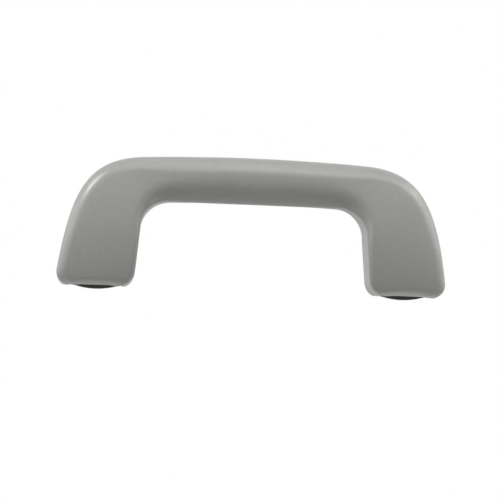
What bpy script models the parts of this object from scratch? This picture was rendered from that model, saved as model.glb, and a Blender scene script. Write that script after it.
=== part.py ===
"""Folding roof grab handle: a moulded U-shaped grip that swings on two hinge brackets.

X runs along the bar, +Y points into the roof rail and +Z up, with the grip folded flat against the roof.
The origin lies on the mounting plane, midway between the two fixing screws.
"""

import math
from dataclasses import dataclass, replace

import bmesh
import bpy
from mathutils import Matrix, Vector
from mathutils.geometry import interpolate_bezier, intersect_line_sphere_2d

MM = 0.001

# Grip, front view
FLANK_SPAN = 230.6 * MM
OVERALL_HEIGHT = 79.7 * MM
BAR_HEIGHT = 27.6 * MM
TOP_CROWN = 3.0 * MM
UNDERSIDE_CROWN = 0.2 * MM
CROWN_HALF_SPAN = 80 * MM
SHOULDER_RUN = 49 * MM
SHOULDER_FULLNESS = 0.73
FLANK_FULLNESS = 0.65
FLANK_LEAN = 0.15
FOOT_WIDTH = 45.8 * MM
LEG_LEAN = 0.085
LEG_FILLET_RADIUS = 17 * MM
FOOT_CORNER_RADIUS = 9.6 * MM
FLANK_END_HEIGHT = 4 * MM

# Grip, depth and edges
BACK_GAP = 1 * MM
GRIP_DEPTH = 29 * MM
BAR_DEPTH = 24 * MM
BAR_SETBACK = 1.5 * MM
BAR_ROUNDNESS = 0.96
FACE_CROWN_RADIUS = 120 * MM
FACE_SUMMIT_ABOVE_FOOT_END = 33 * MM
FACE_SIDE_FALL = 2.6 * MM
FACE_SIDE_FALL_RUN = 49 * MM
FOOT_OUTER_EDGE_RADIUS = 6 * MM
FOOT_INNER_EDGE_RADIUS = 3 * MM
FOOT_BACK_EDGE_RADIUS = 1.2 * MM
FOOT_END_RADIUS = 2 * MM
FOOT_END_SLOPE = math.radians(5.5)
CHIN_HEIGHT = 9 * MM
CHIN_DEPTH = 0.6 * MM

# Blend of the bar's oval section into the foot's, in runs along the inner edge
BLEND_RUN_ON_BAR = 20 * MM
BODY_BLEND_RUN = 50 * MM
OUTER_EDGE_BLEND_RUN = 80 * MM
INNER_EDGE_BLEND_START = 8 * MM
INNER_EDGE_BLEND_RUN = 46 * MM

# Foot pocket
WALL = 2.8 * MM
POCKET_HEIGHT = 44 * MM
POCKET_TOP_RADIUS = 5 * MM

# Hinge
PIVOT_STANDOFF = 12 * MM
PIVOT_BELOW_SCREW = 18 * MM
PIVOT_ABOVE_FOOT_END = 9 * MM
PIN_RADIUS = 2 * MM
PIN_CHAMFER = 0.4 * MM
SEAT_GAP = 0.3 * MM
SNAP_SQUEEZE = 0.3 * MM
BUSH_WALL = 0.9 * MM
BUSH_FLANGE_RADIUS = 4.6 * MM
BUSH_FLANGE_THICKNESS = 0.8 * MM
BOSS_RADIUS = 4.5 * MM
BOSS_WEB_THICKNESS = 2.4 * MM
STOP_RIB_THICKNESS = 3 * MM
STOP_RIB_TO_PIN = 7.5 * MM
STOP_RIB_SLOPE = 6 * MM

# Bracket
PLATE_WIDTH = 30 * MM
PLATE_THICKNESS = 4 * MM
PLATE_ABOVE_SCREW = 16 * MM
PLATE_FOOT_CROWN = 1.8 * MM
PLATE_FOOT_RADIUS = 2.5 * MM
PLATE_TOP_WIDTH = 23 * MM
PLATE_SHOULDER_Z = -2 * MM
PLATE_SHOULDER_RADIUS = 8 * MM
PLATE_TO_OPENING = 0.5 * MM
EAR_THICKNESS = 3 * MM
EAR_SPACING = 20 * MM
EAR_NOSE_RADIUS = 5.6 * MM
EAR_ROOT_RISE = 13 * MM
CUP_WIDTH = 22 * MM
CUP_HEIGHT = 20 * MM
CUP_DEPTH = 9 * MM
CUP_WALL = 1.8 * MM
CUP_FLOOR = 2 * MM
CUP_CORNER_RADIUS = 3 * MM
LIGHTENING_DEPTH = 2.2 * MM
LIGHTENING_WIDTH = 18 * MM
LIGHTENING_HEIGHT = 13 * MM
LIGHTENING_EDGE = 3.5 * MM
LUG_WIDTH = 9 * MM
LUG_HEIGHT = 5 * MM
LUG_LENGTH = 4 * MM
LUG_ABOVE_SCREW = 10.5 * MM

# Fixing screw
SCREW_RADIUS = 3 * MM
SCREW_LENGTH = 20 * MM
SCREW_POINT = 1.5 * MM
SCREW_FLANGE_RADIUS = 6.8 * MM
SCREW_FLANGE_THICKNESS = 1.4 * MM
SCREW_HEX_ACROSS_FLATS = 8 * MM
SCREW_HEX_HEIGHT = 3.2 * MM
SCREW_DRIVE_RADIUS = 2.6 * MM
SCREW_DRIVE_LOBE = 0.35 * MM
SCREW_DRIVE_DEPTH = 2.4 * MM

# Screw cap
CAP_THICKNESS = 1.6 * MM
CAP_OVERHANG = 0.6 * MM
CAP_HOOK_WIDTH = 6 * MM
CAP_HOOK_LENGTH = 4.5 * MM
CAP_HOOK_THICKNESS = 1.2 * MM
CAP_NOTCH_WIDTH = 6 * MM
CAP_NOTCH_DEPTH = 1 * MM

# Return spring
SPRING_WIRE_RADIUS = 0.7 * MM
SPRING_COIL_RADIUS = 4.2 * MM
SPRING_TURNS = 6
SPRING_PITCH = 1.75 * MM
SPRING_ARM_DROP = 6.5 * MM
SPOOL_WALL = 0.8 * MM

# Damper
DAMPER_RADIUS = 5.7 * MM
DAMPER_WALL = 1.4 * MM
DAMPER_LENGTH = 13.6 * MM
DAMPER_LID_THICKNESS = 1.4 * MM
DAMPER_FIN_THICKNESS = 2.4 * MM
ROTOR_COLLAR_RADIUS = 4.8 * MM

# Buffers
BUFFER_INBOARD = 11 * MM
BUFFER_ABOVE_SCREW = 30 * MM
BUFFER_HEAD_RADIUS = 4 * MM
BUFFER_SEAT_DEPTH = 1.2 * MM
BUFFER_STANDOFF = 0.2 * MM
BUFFER_STEM_RADIUS = 1.9 * MM
BUFFER_STEM_LENGTH = 4 * MM

# Mesh fineness
ROUND_STEPS = 24
CORNER_STEPS = 5
EDGE_STEPS = 6
FACE_STEPS = 4
BAR_STATIONS = 6
CORNER_STATIONS = 12
LEG_STATIONS = 6
END_STATIONS = 5
OVERCUT = 5 * MM

# Places worked out from the sizes above
SIDES = {"left": -1, "right": 1}
PIVOT_Y = -PIVOT_STANDOFF
PIVOT_Z = -PIVOT_BELOW_SCREW
FOOT_END_Z = PIVOT_Z - PIVOT_ABOVE_FOOT_END
TOP_Z = FOOT_END_Z + OVERALL_HEIGHT
UNDERSIDE_Z = TOP_Z - BAR_HEIGHT
FOOT_BACK_Y = -BACK_GAP
FOOT_FRONT_Y = FOOT_BACK_Y - GRIP_DEPTH
BAR_BACK_Y = FOOT_BACK_Y - BAR_SETBACK
BAR_FRONT_Y = BAR_BACK_Y - BAR_DEPTH
POCKET_TOP_Z = FOOT_END_Z + WALL + POCKET_HEIGHT
PIN_HOLE_RADIUS = PIN_RADIUS + SEAT_GAP
BUSH_RADIUS = PIN_HOLE_RADIUS + BUSH_WALL
FRONT_WALL_Y = FOOT_FRONT_Y + WALL
EAR_OUTSIDE = EAR_SPACING / 2 + EAR_THICKNESS
BOSS_START = EAR_OUTSIDE + 3 * SEAT_GAP + BUSH_FLANGE_THICKNESS
SEAT_Y = -PLATE_THICKNESS - CUP_FLOOR
CUP_FRONT_Y = -PLATE_THICKNESS - CUP_DEPTH


@dataclass(frozen=True)
class Finish:
    """Colour and surface of one material."""

    name: str
    colour: tuple
    roughness: float
    metallic: float = 0.0

    def material(self):
        made = bpy.data.materials.new(self.name)
        made.use_nodes = True
        shader = made.node_tree.nodes["Principled BSDF"]
        shader.inputs["Base Color"].default_value = (*self.colour, 1.0)
        shader.inputs["Roughness"].default_value = self.roughness
        shader.inputs["Metallic"].default_value = self.metallic
        return made


@dataclass(frozen=True)
class Section:
    """Rounded rectangle across the grip, from a point on its inner edge line to one on its outer.

    A corner has one radius across the section and one in its depth. The front face falls back with the
    crown of the foot, by the share given as crowned.
    """

    inner: Vector
    outer: Vector
    back: float
    front: float
    front_outer: tuple
    front_inner: tuple
    back_corners: tuple
    crowned: float

    def points(self):
        """The section's points in order round its edge, beginning at the outer front corner."""
        width = (self.outer - self.inner).length
        depth = self.back - self.front
        along = (self.outer - self.inner) / width
        middle = (self.outer + self.inner) / 2
        corners = (
            (1, 1, self.front_outer),
            (-1, 1, self.front_inner),
            (-1, -1, self.back_corners),
            (1, -1, self.back_corners),
        )
        flat = []
        for quarter, (across, forward, radii) in enumerate(corners):
            wide, deep = min(radii[0], 0.499 * width), min(radii[1], 0.499 * depth)
            centre = (across * (width / 2 - wide), forward * (depth / 2 - deep))
            turn = [(quarter + step / EDGE_STEPS) * math.pi / 2 for step in range(EDGE_STEPS + 1)]
            corner = [(centre[0] + wide * math.cos(a), centre[1] + deep * math.sin(a)) for a in turn]
            if quarter % 2 == 1:
                flat += between(flat[-1], corner[0])
            flat += corner
        ring = []
        for u, v in flat:
            place = middle + along * u
            fall = self.crowned * face_fall(place.x, place.z) * (v / depth + 0.5)
            ring.append(place + Vector((0, (self.back + self.front) / 2 - v + fall, 0)))
        return ring


def between(start, end):
    """Points along the front or the back face, between the ends of two corners."""
    shares = [k / FACE_STEPS for k in range(1, FACE_STEPS)]
    return [(start[0] + (end[0] - start[0]) * s, start[1] + (end[1] - start[1]) * s) for s in shares]


def clear_scene():
    for existing in list(bpy.data.objects):
        bpy.data.objects.remove(existing)


def new_collection(name):
    made = bpy.data.collections.new(name)
    bpy.context.scene.collection.children.link(made)
    return made


def add_object(name, data, collection, material=None):
    made = bpy.data.objects.new(name, data)
    collection.objects.link(made)
    if material:
        made.data.materials.append(material)
    return made


def add_mesh(name, shape, collection, material=None):
    """Object from a bmesh, which is freed."""
    shape.normal_update()
    bmesh.ops.recalc_face_normals(shape, faces=shape.faces)
    data = bpy.data.meshes.new(name)
    shape.to_mesh(data)
    shape.free()
    return add_object(name, data, collection, material)


def as_tool(tool):
    """Marks an object that only cuts or joins, and so is no piece of the handle."""
    tool.hide_render = True
    tool.display_type = "WIRE"
    return tool


def boolean(target, tool, operation):
    modifier = target.modifiers.new(tool.name, "BOOLEAN")
    modifier.object = as_tool(tool)
    modifier.operation = operation


def mirror_across_middle(target):
    modifier = target.modifiers.new("Other half", "MIRROR")
    modifier.use_axis = (True, False, False)
    modifier.merge_threshold = 0.00005


def smooth(target, angle=math.radians(35)):
    target.data.shade_smooth()
    target.data.set_sharp_from_angle(angle=angle)


def settled(source, name, collection, material):
    """The source's finished shape as a plain mesh object, in place of the source."""
    bpy.context.view_layer.update()
    graph = bpy.context.evaluated_depsgraph_get()
    data = bpy.data.meshes.new_from_object(source.evaluated_get(graph))
    data.name = name
    made = add_object(name, data, collection)
    made.matrix_world = source.matrix_world.copy()
    made.data.materials.clear()
    made.data.materials.append(material)
    bpy.data.objects.remove(source)
    return made


def box(name, low, high, collection):
    shape = bmesh.new()
    bmesh.ops.create_cube(shape, size=1.0)
    low, high = Vector(low), Vector(high)
    size = high - low
    shape.transform(Matrix.Translation((low + high) / 2) @ Matrix.Diagonal((*size, 1)))
    return add_mesh(name, shape, collection)


def rod_along_x(name, radius, start, end, y, z, collection, sides=ROUND_STEPS):
    shape = bmesh.new()
    bmesh.ops.create_cone(
        shape, cap_ends=True, segments=sides, radius1=radius, radius2=radius, depth=abs(end - start)
    )
    shape.transform(Matrix.Translation(((start + end) / 2, y, z)) @ Matrix.Rotation(math.pi / 2, 4, "Y"))
    return add_mesh(name, shape, collection)


def rod_along_y(name, radius, start, end, x, z, collection, sides=ROUND_STEPS):
    shape = bmesh.new()
    bmesh.ops.create_cone(
        shape, cap_ends=True, segments=sides, radius1=radius, radius2=radius, depth=abs(end - start)
    )
    shape.transform(Matrix.Translation((x, (start + end) / 2, z)) @ Matrix.Rotation(math.pi / 2, 4, "X"))
    return add_mesh(name, shape, collection)


def prism(name, outline, start, end, collection):
    """Solid with one outline: (x, z) pairs swept along Y from start to end."""
    shape = bmesh.new()
    face = shape.faces.new([shape.verts.new((x, start, z)) for x, z in outline])
    grown = bmesh.ops.extrude_face_region(shape, geom=[face])
    moved = [item for item in grown["geom"] if isinstance(item, bmesh.types.BMVert)]
    bmesh.ops.translate(shape, verts=moved, vec=(0, end - start, 0))
    return add_mesh(name, shape, collection)


def prism_along_x(name, outline, start, end, collection):
    """Solid with one outline: (y, z) pairs swept along X from start to end."""
    shape = bmesh.new()
    face = shape.faces.new([shape.verts.new((start, y, z)) for y, z in outline])
    grown = bmesh.ops.extrude_face_region(shape, geom=[face])
    moved = [item for item in grown["geom"] if isinstance(item, bmesh.types.BMVert)]
    bmesh.ops.translate(shape, verts=moved, vec=(end - start, 0, 0))
    return add_mesh(name, shape, collection)


def rounded_polygon(corners):
    """Outline with its corners given as (x, z, radius), in order round it."""
    outline = []
    for k, (x, z, radius) in enumerate(corners):
        corner = Vector((x, z))
        before = (Vector(corners[k - 1][:2]) - corner).normalized()
        after = (Vector(corners[(k + 1) % len(corners)][:2]) - corner).normalized()
        half_angle = before.angle(after) / 2
        centre = corner + (before + after).normalized() * radius / math.sin(half_angle)
        start = corner + before * radius / math.tan(half_angle) - centre
        end = corner + after * radius / math.tan(half_angle) - centre
        for step in range(CORNER_STEPS + 1):
            outline.append(centre + start.slerp(end, step / CORNER_STEPS) * radius)
    return outline


def rounded_rectangle(width, height, radius, middle_z=0.0):
    """Outline of an upright rectangle about the Z axis."""
    side, low, high = width / 2, middle_z - height / 2, middle_z + height / 2
    return rounded_polygon(
        [(side, high, radius), (-side, high, radius), (-side, low, radius), (side, low, radius)]
    )


def prism_along_z(name, outline, start, end, collection):
    """Solid with one outline: (x, y) pairs swept along Z from start to end."""
    shape = bmesh.new()
    face = shape.faces.new([shape.verts.new((x, y, start)) for x, y in outline])
    grown = bmesh.ops.extrude_face_region(shape, geom=[face])
    moved = [item for item in grown["geom"] if isinstance(item, bmesh.types.BMVert)]
    bmesh.ops.translate(shape, verts=moved, vec=(0, 0, end - start))
    return add_mesh(name, shape, collection)


def arc(centre, radius, start, end, steps):
    """Points on an arc, angles in radians from the first axis."""
    angles = [start + (end - start) * k / steps for k in range(steps + 1)]
    return [(centre[0] + radius * math.cos(a), centre[1] + radius * math.sin(a)) for a in angles]


def turned(name, profile, collection, material, bored):
    """Round piece from (radius, height) pairs down its outer side, turned about its own Z axis."""
    data = bpy.data.meshes.new(name)
    count = len(profile)
    edges = [(k, k + 1) for k in range(count - 1)]
    if bored:
        edges.append((count - 1, 0))
    data.from_pydata([(radius, 0, height) for radius, height in profile], edges, [])
    made = add_object(name, data, collection, material)
    screw = made.modifiers.new("Turned", "SCREW")
    screw.steps = screw.render_steps = ROUND_STEPS
    screw.use_merge_vertices = True
    screw.merge_threshold = 0.00001
    screw.use_smooth_shade = False
    return made


def lay_along_x(piece, x, y, z, direction=1):
    """Turns a piece's own Z axis to +X or -X and moves its origin to the given place."""
    piece.rotation_euler = (0, direction * math.pi / 2, 0)
    piece.location = (x, y, z)


def tube_profile(inner_radius, outer_radius, low, high):
    return [(outer_radius, high), (outer_radius, low), (inner_radius, low), (inner_radius, high)]


def rounding(radius, distance):
    """How far a rounded corner has drawn in at a distance from its end."""
    if distance >= radius:
        return 0.0
    return radius - math.sqrt(radius**2 - (radius - max(distance, 0.0)) ** 2)


def smoothstep(value):
    value = min(max(value, 0.0), 1.0)
    return value * value * (3 - 2 * value)


def place_where(line, measure, value):
    """Point of a line of points at which a steadily rising measure takes a value."""
    for start, end in zip(line, line[1:]):
        low, high = measure(start), measure(end)
        if low <= value <= high and high > low:
            return start.lerp(end, (value - low) / (high - low))
    return line[0] if value < measure(line[0]) else line[-1]


def top_height(x):
    return TOP_Z - TOP_CROWN * (x / CROWN_HALF_SPAN) ** 2


def underside_height(x):
    return UNDERSIDE_Z - UNDERSIDE_CROWN * (x / CROWN_HALF_SPAN) ** 2


def outer_line():
    """Outer edge of the right half in the front view: crowned top, shoulder and leaning flank."""
    shoulder_x = FLANK_SPAN / 2 - SHOULDER_RUN
    crown = [Vector((shoulder_x * k / 8, 0, top_height(shoulder_x * k / 8))) for k in range(8)]
    start = Vector((shoulder_x, 0, top_height(shoulder_x)))
    end = Vector((FLANK_SPAN / 2, 0, FOOT_END_Z + FLANK_END_HEIGHT))
    slope = Vector((1, 0, -2 * TOP_CROWN * shoulder_x / CROWN_HALF_SPAN**2)).normalized()
    upward = Vector((-math.sin(FLANK_LEAN), 0, math.cos(FLANK_LEAN)))
    top_handle = start + slope * SHOULDER_FULLNESS * SHOULDER_RUN
    flank_handle = end + upward * FLANK_FULLNESS * (start.z - end.z)
    return crown + interpolate_bezier(start, top_handle, flank_handle, end, 48)


OUTER_LINE = outer_line()


def leg_corner():
    """Centre of the fillet between the bar's underside and the leg's inner edge."""
    centre_z = UNDERSIDE_Z - LEG_FILLET_RADIUS
    edge_x = FLANK_SPAN / 2 - FOOT_WIDTH - LEG_LEAN * (centre_z - FOOT_END_Z)
    centre_x = edge_x - LEG_FILLET_RADIUS
    return Vector((centre_x, 0, underside_height(centre_x) - LEG_FILLET_RADIUS))


LEG_CORNER = leg_corner()


def leg_inner_x(z, inset=0.0):
    """Inner edge of the leg at a height, moved into the material by inset."""
    radius = LEG_FILLET_RADIUS + inset
    rise = z - LEG_CORNER.z
    if rise > 0:
        return LEG_CORNER.x + math.sqrt(max(radius**2 - rise**2, 0.0))
    return LEG_CORNER.x + radius - LEG_LEAN * rise


def leg_outer_x(z, inset=0.0):
    return place_where(OUTER_LINE, lambda point: -point.z, -z).x - inset


POCKET_SPAN = (leg_inner_x(PIVOT_Z) + WALL, leg_outer_x(PIVOT_Z) - WALL)
BRACKET_X = sum(POCKET_SPAN) / 2


def front_wall_y(x, z):
    """Inside face of a foot's front wall, below the blend into the bar."""
    return FRONT_WALL_Y + face_fall(x, z)


def grip_section(inner, outer, run, side_inset=0.0, end_inset=0.0):
    """Section of the grip. run is how far along the inner edge the bar's oval has been giving way."""

    def mix(bar_size, foot_size, start, length):
        return bar_size + (foot_size - bar_size) * smoothstep((run - start) / length)

    def corner(foot_radius, start, length):
        """The oval's own radii on the bar, and one radius both ways on the foot."""
        wide, deep = BAR_ROUNDNESS * BAR_HEIGHT / 2, BAR_ROUNDNESS * BAR_DEPTH / 2
        return mix(wide, foot_radius, start, length), mix(deep, foot_radius, start, length)

    along = (outer - inner).normalized()
    return Section(
        inner + along * side_inset,
        outer - along * side_inset,
        mix(BAR_BACK_Y, FOOT_BACK_Y, 0.0, BODY_BLEND_RUN),
        mix(BAR_FRONT_Y, FOOT_FRONT_Y, 0.0, BODY_BLEND_RUN) + end_inset,
        corner(FOOT_OUTER_EDGE_RADIUS, 0.0, OUTER_EDGE_BLEND_RUN),
        corner(FOOT_INNER_EDGE_RADIUS, INNER_EDGE_BLEND_START, INNER_EDGE_BLEND_RUN),
        corner(FOOT_BACK_EDGE_RADIUS, 0.0, BODY_BLEND_RUN),
        mix(0.0, 1.0, 0.0, BODY_BLEND_RUN),
    )


def grip_sections():
    """Sections of the right half, from the middle of the bar, round the shoulder and down the leg."""
    sections = []
    for k in range(BAR_STATIONS):
        x = LEG_CORNER.x * (1 - (1 - k / BAR_STATIONS) ** 1.5)
        inner, outer = Vector((x, 0, underside_height(x))), Vector((x, 0, top_height(x)))
        sections.append(grip_section(inner, outer, x - LEG_CORNER.x + BLEND_RUN_ON_BAR))
    for k in range(CORNER_STATIONS):
        angle = math.pi / 2 * k / CORNER_STATIONS
        toward = Vector((math.sin(angle), 0, math.cos(angle)))
        outer = place_where(OUTER_LINE, angle_about_corner, angle)
        run = BLEND_RUN_ON_BAR + LEG_FILLET_RADIUS * angle
        sections.append(grip_section(LEG_CORNER + toward * LEG_FILLET_RADIUS, outer, run))
    straight_end = FOOT_END_Z + FOOT_CORNER_RADIUS
    for k in range(LEG_STATIONS):
        z = LEG_CORNER.z + (straight_end - LEG_CORNER.z) * k / LEG_STATIONS
        sections.append(foot_section(z))
    for k in range(END_STATIONS + 1):
        rise = FOOT_CORNER_RADIUS * (1 - math.sin(math.pi / 2 * k / END_STATIONS))
        sections.append(foot_section(FOOT_END_Z + rise))
    return sections


def angle_about_corner(point):
    offset = point - LEG_CORNER
    return math.atan2(offset.x, offset.z)


def run_at_height(z):
    """How far the blend has run at a height on the leg's inner edge."""
    rise = min(max(z - LEG_CORNER.z, 0.0), LEG_FILLET_RADIUS)
    round_corner = LEG_FILLET_RADIUS * math.acos(rise / LEG_FILLET_RADIUS)
    return BLEND_RUN_ON_BAR + round_corner + max(LEG_CORNER.z - z, 0.0)


def face_fall(x, z):
    """How far the crowned face of a foot has fallen back from its summit."""
    across = max(x - FLANK_SPAN / 2 + FACE_SIDE_FALL_RUN, 0.0) / FACE_SIDE_FALL_RUN
    below = z - FOOT_END_Z - FACE_SUMMIT_ABOVE_FOOT_END
    return FACE_SIDE_FALL * across**2 + below**2 / (2 * FACE_CROWN_RADIUS)


def chin(rise):
    """How far the front face has curved back at a height above the foot's end."""
    return CHIN_DEPTH * max(1 - rise / CHIN_HEIGHT, 0.0) ** 2


def foot_section(z):
    rise = z - FOOT_END_Z
    return grip_section(
        Vector((leg_inner_x(z), 0, z)),
        Vector((leg_outer_x(z), 0, z)),
        run_at_height(z),
        rounding(FOOT_CORNER_RADIUS, rise),
        rounding(FOOT_END_RADIUS, rise) + chin(rise),
    )


def loft(name, sections, collection, close_start, material=None):
    """Skin through sections that have equal numbers of points, closed at its far end."""
    shape = bmesh.new()
    rings = [[shape.verts.new(point) for point in section.points()] for section in sections]
    count = len(rings[0])
    for ring, following in zip(rings, rings[1:]):
        for k in range(count):
            after = (k + 1) % count
            shape.faces.new((ring[k], ring[after], following[after], following[k]))
    shape.faces.new(rings[-1])
    if close_start:
        shape.faces.new(rings[0])
    return add_mesh(name, shape, collection, material)


def pocket_tool(collection):
    """Hollow that takes the bracket: the leg's own outline less the wall, open to the back."""
    low, high = FOOT_END_Z + WALL, POCKET_TOP_Z
    corner = FOOT_CORNER_RADIUS - WALL
    turn = [1 - math.cos(math.pi / 2 * k / 4) for k in range(5)]
    heights = [low + corner * share for share in turn]
    heights += [low + corner + (high - POCKET_TOP_RADIUS - low - corner) * k / 5 for k in range(1, 5)]
    heights += [high - POCKET_TOP_RADIUS * share for share in reversed(turn)]
    sections = []
    for z in heights:
        inset = WALL + rounding(corner, z - low) + rounding(POCKET_TOP_RADIUS, high - z)
        inner, outer = Vector((leg_inner_x(z, inset), 0, z)), Vector((leg_outer_x(z, inset), 0, z))
        skin = grip_section(inner, outer, run_at_height(z))
        sections.append(
            replace(
                skin,
                back=OVERCUT,
                front=skin.front + WALL,
                front_outer=inside_corner(skin.front_outer),
                front_inner=inside_corner(skin.front_inner),
                back_corners=(SEAT_GAP, SEAT_GAP),
            )
        )
    return loft("pocket_tool", sections, collection, close_start=True)


def inside_corner(radii):
    """Radii on the inner side of the wall round a corner."""
    return tuple(max(radius - WALL, SEAT_GAP) for radius in radii)


def opening_tool(collection):
    """Opening in the foot's underside that lets the bracket's plate through as the grip swings."""
    half = PLATE_WIDTH / 2 + PLATE_TO_OPENING
    places = [BRACKET_X - half + 2 * half * k / FACE_STEPS for k in range(FACE_STEPS + 1)]
    outline = [(BRACKET_X + half, OVERCUT), (BRACKET_X - half, OVERCUT)]
    outline += [(x, front_wall_y(x, FOOT_END_Z)) for x in places]
    top = FOOT_END_Z + WALL + FOOT_CORNER_RADIUS / 2
    return prism_along_z("opening_tool", outline, FOOT_END_Z - OVERCUT, top, collection)


def foot_end_tool(collection):
    """Underside of the foot: slanted up behind the front wall, then round about the pin to clear the roof."""
    radius = PIVOT_STANDOFF - BACK_GAP
    start = Vector((front_wall_y(BRACKET_X, FOOT_END_Z), FOOT_END_Z))
    rise = Vector((math.cos(FOOT_END_SLOPE), math.sin(FOOT_END_SLOPE))) * PIVOT_STANDOFF
    meetings = intersect_line_sphere_2d(start, start + rise, (PIVOT_Y, PIVOT_Z), radius, False)
    meeting = max(meetings, key=lambda point: point.x)
    angle = math.atan2(meeting.y - PIVOT_Z, meeting.x - PIVOT_Y)
    before = start - rise / 2
    outline = [before, *arc((PIVOT_Y, PIVOT_Z), radius, angle, 0, 2 * CORNER_STEPS)]
    low = FOOT_END_Z - OVERCUT
    outline += [(OVERCUT, PIVOT_Z), (OVERCUT, low), (before.x, low)]
    return prism_along_x("foot_end_tool", outline, -FLANK_SPAN, FLANK_SPAN, collection)


def boss_tools(collection):
    """Pin bosses of the right foot, each on a web to the front wall, as they stand in the pocket."""
    inner_face, outer_face = POCKET_SPAN
    half_web = BOSS_WEB_THICKNESS / 2
    spans = {
        "inner": (inner_face - WALL / 2, BRACKET_X - BOSS_START),
        "outer": (BRACKET_X + BOSS_START, outer_face + WALL / 2),
    }
    tools = []
    for place, (start, end) in spans.items():
        tools.append(rod_along_x(f"{place}_boss_tool", BOSS_RADIUS, start, end, PIVOT_Y, PIVOT_Z, collection))
        low = (start, FOOT_FRONT_Y, PIVOT_Z - half_web)
        tools.append(box(f"{place}_web_tool", low, (end, PIVOT_Y, PIVOT_Z + half_web), collection))
    return tools


def stop_rib_tool(collection):
    """Rib whose lower end meets the bracket's plate once the grip has swung a right angle."""
    tip_y = PIVOT_Y - STOP_RIB_TO_PIN
    low = PIVOT_Z - (PIVOT_STANDOFF - PLATE_THICKNESS - SEAT_GAP)
    outline = [
        (FOOT_FRONT_Y, low),
        (tip_y, low),
        (tip_y, PIVOT_Z),
        (FOOT_FRONT_Y, PIVOT_Z + STOP_RIB_SLOPE),
    ]
    half = STOP_RIB_THICKNESS / 2
    return prism_along_x("stop_rib_tool", outline, BRACKET_X - half, BRACKET_X + half, collection)


def cut_pin_seats(grip, tools):
    """Pin holes in the bosses, with mouths at the back through which the pin snaps in."""
    inner_face, outer_face = POCKET_SPAN
    half_mouth = PIN_RADIUS - SNAP_SQUEEZE
    hole = rod_along_x("pin_hole_tool", PIN_HOLE_RADIUS, inner_face, outer_face, PIVOT_Y, PIVOT_Z, tools)
    mouth = box(
        "pin_mouth_tool",
        (inner_face, PIVOT_Y, PIVOT_Z - half_mouth),
        (outer_face, PIVOT_Y + BOSS_RADIUS + SEAT_GAP, PIVOT_Z + half_mouth),
        tools,
    )
    for tool in (hole, mouth):
        mirror_across_middle(tool)
        boolean(grip, tool, "DIFFERENCE")


def build_grip(parts, tools, material):
    grip = loft("grip", grip_sections(), parts, close_start=False, material=material)
    mirror_across_middle(grip)
    pocket = pocket_tool(tools)
    boolean(pocket, opening_tool(tools), "UNION")
    for kept in (*boss_tools(tools), stop_rib_tool(tools)):
        boolean(pocket, kept, "DIFFERENCE")
    mirror_across_middle(pocket)
    boolean(grip, pocket, "DIFFERENCE")
    cut_pin_seats(grip, tools)
    boolean(grip, foot_end_tool(tools), "DIFFERENCE")
    for tool in buffer_seat_tools(tools):
        mirror_across_middle(tool)
        boolean(grip, tool, "DIFFERENCE")
    smooth(grip)
    return grip


def buffer_seat_tools(collection):
    floor = FOOT_BACK_Y - BUFFER_SEAT_DEPTH
    seat_radius, hole_radius = BUFFER_HEAD_RADIUS + SEAT_GAP, BUFFER_STEM_RADIUS + SEAT_GAP
    hole_end = floor - BUFFER_STEM_LENGTH - SEAT_GAP
    place = (BRACKET_X - BUFFER_INBOARD, BUFFER_ABOVE_SCREW, collection)
    return (
        rod_along_y("buffer_seat_tool", seat_radius, floor, OVERCUT, *place),
        rod_along_y("buffer_hole_tool", hole_radius, hole_end, floor + BUFFER_SEAT_DEPTH / 2, *place),
    )


def plate_outline():
    """Front view of the bracket's plate: wide at the pin, narrower round the screw cup, its end crowned."""
    side, end = PLATE_WIDTH / 2, FOOT_END_Z + PLATE_FOOT_CROWN
    right = [
        (side, end, PLATE_FOOT_RADIUS),
        (side, PLATE_SHOULDER_Z, PLATE_SHOULDER_RADIUS),
        (PLATE_TOP_WIDTH / 2, PLATE_ABOVE_SCREW, CUP_CORNER_RADIUS),
    ]
    left = [(-x, z, radius) for x, z, radius in reversed(right)]
    outline = rounded_polygon(right + left)
    flat = side - PLATE_FOOT_RADIUS
    shares = [1 - 2 * k / (2 * FACE_STEPS) for k in range(1, 2 * FACE_STEPS)]
    crown = [(-flat * share, end - PLATE_FOOT_CROWN * (1 - share**2)) for share in shares]
    return outline + crown


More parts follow.
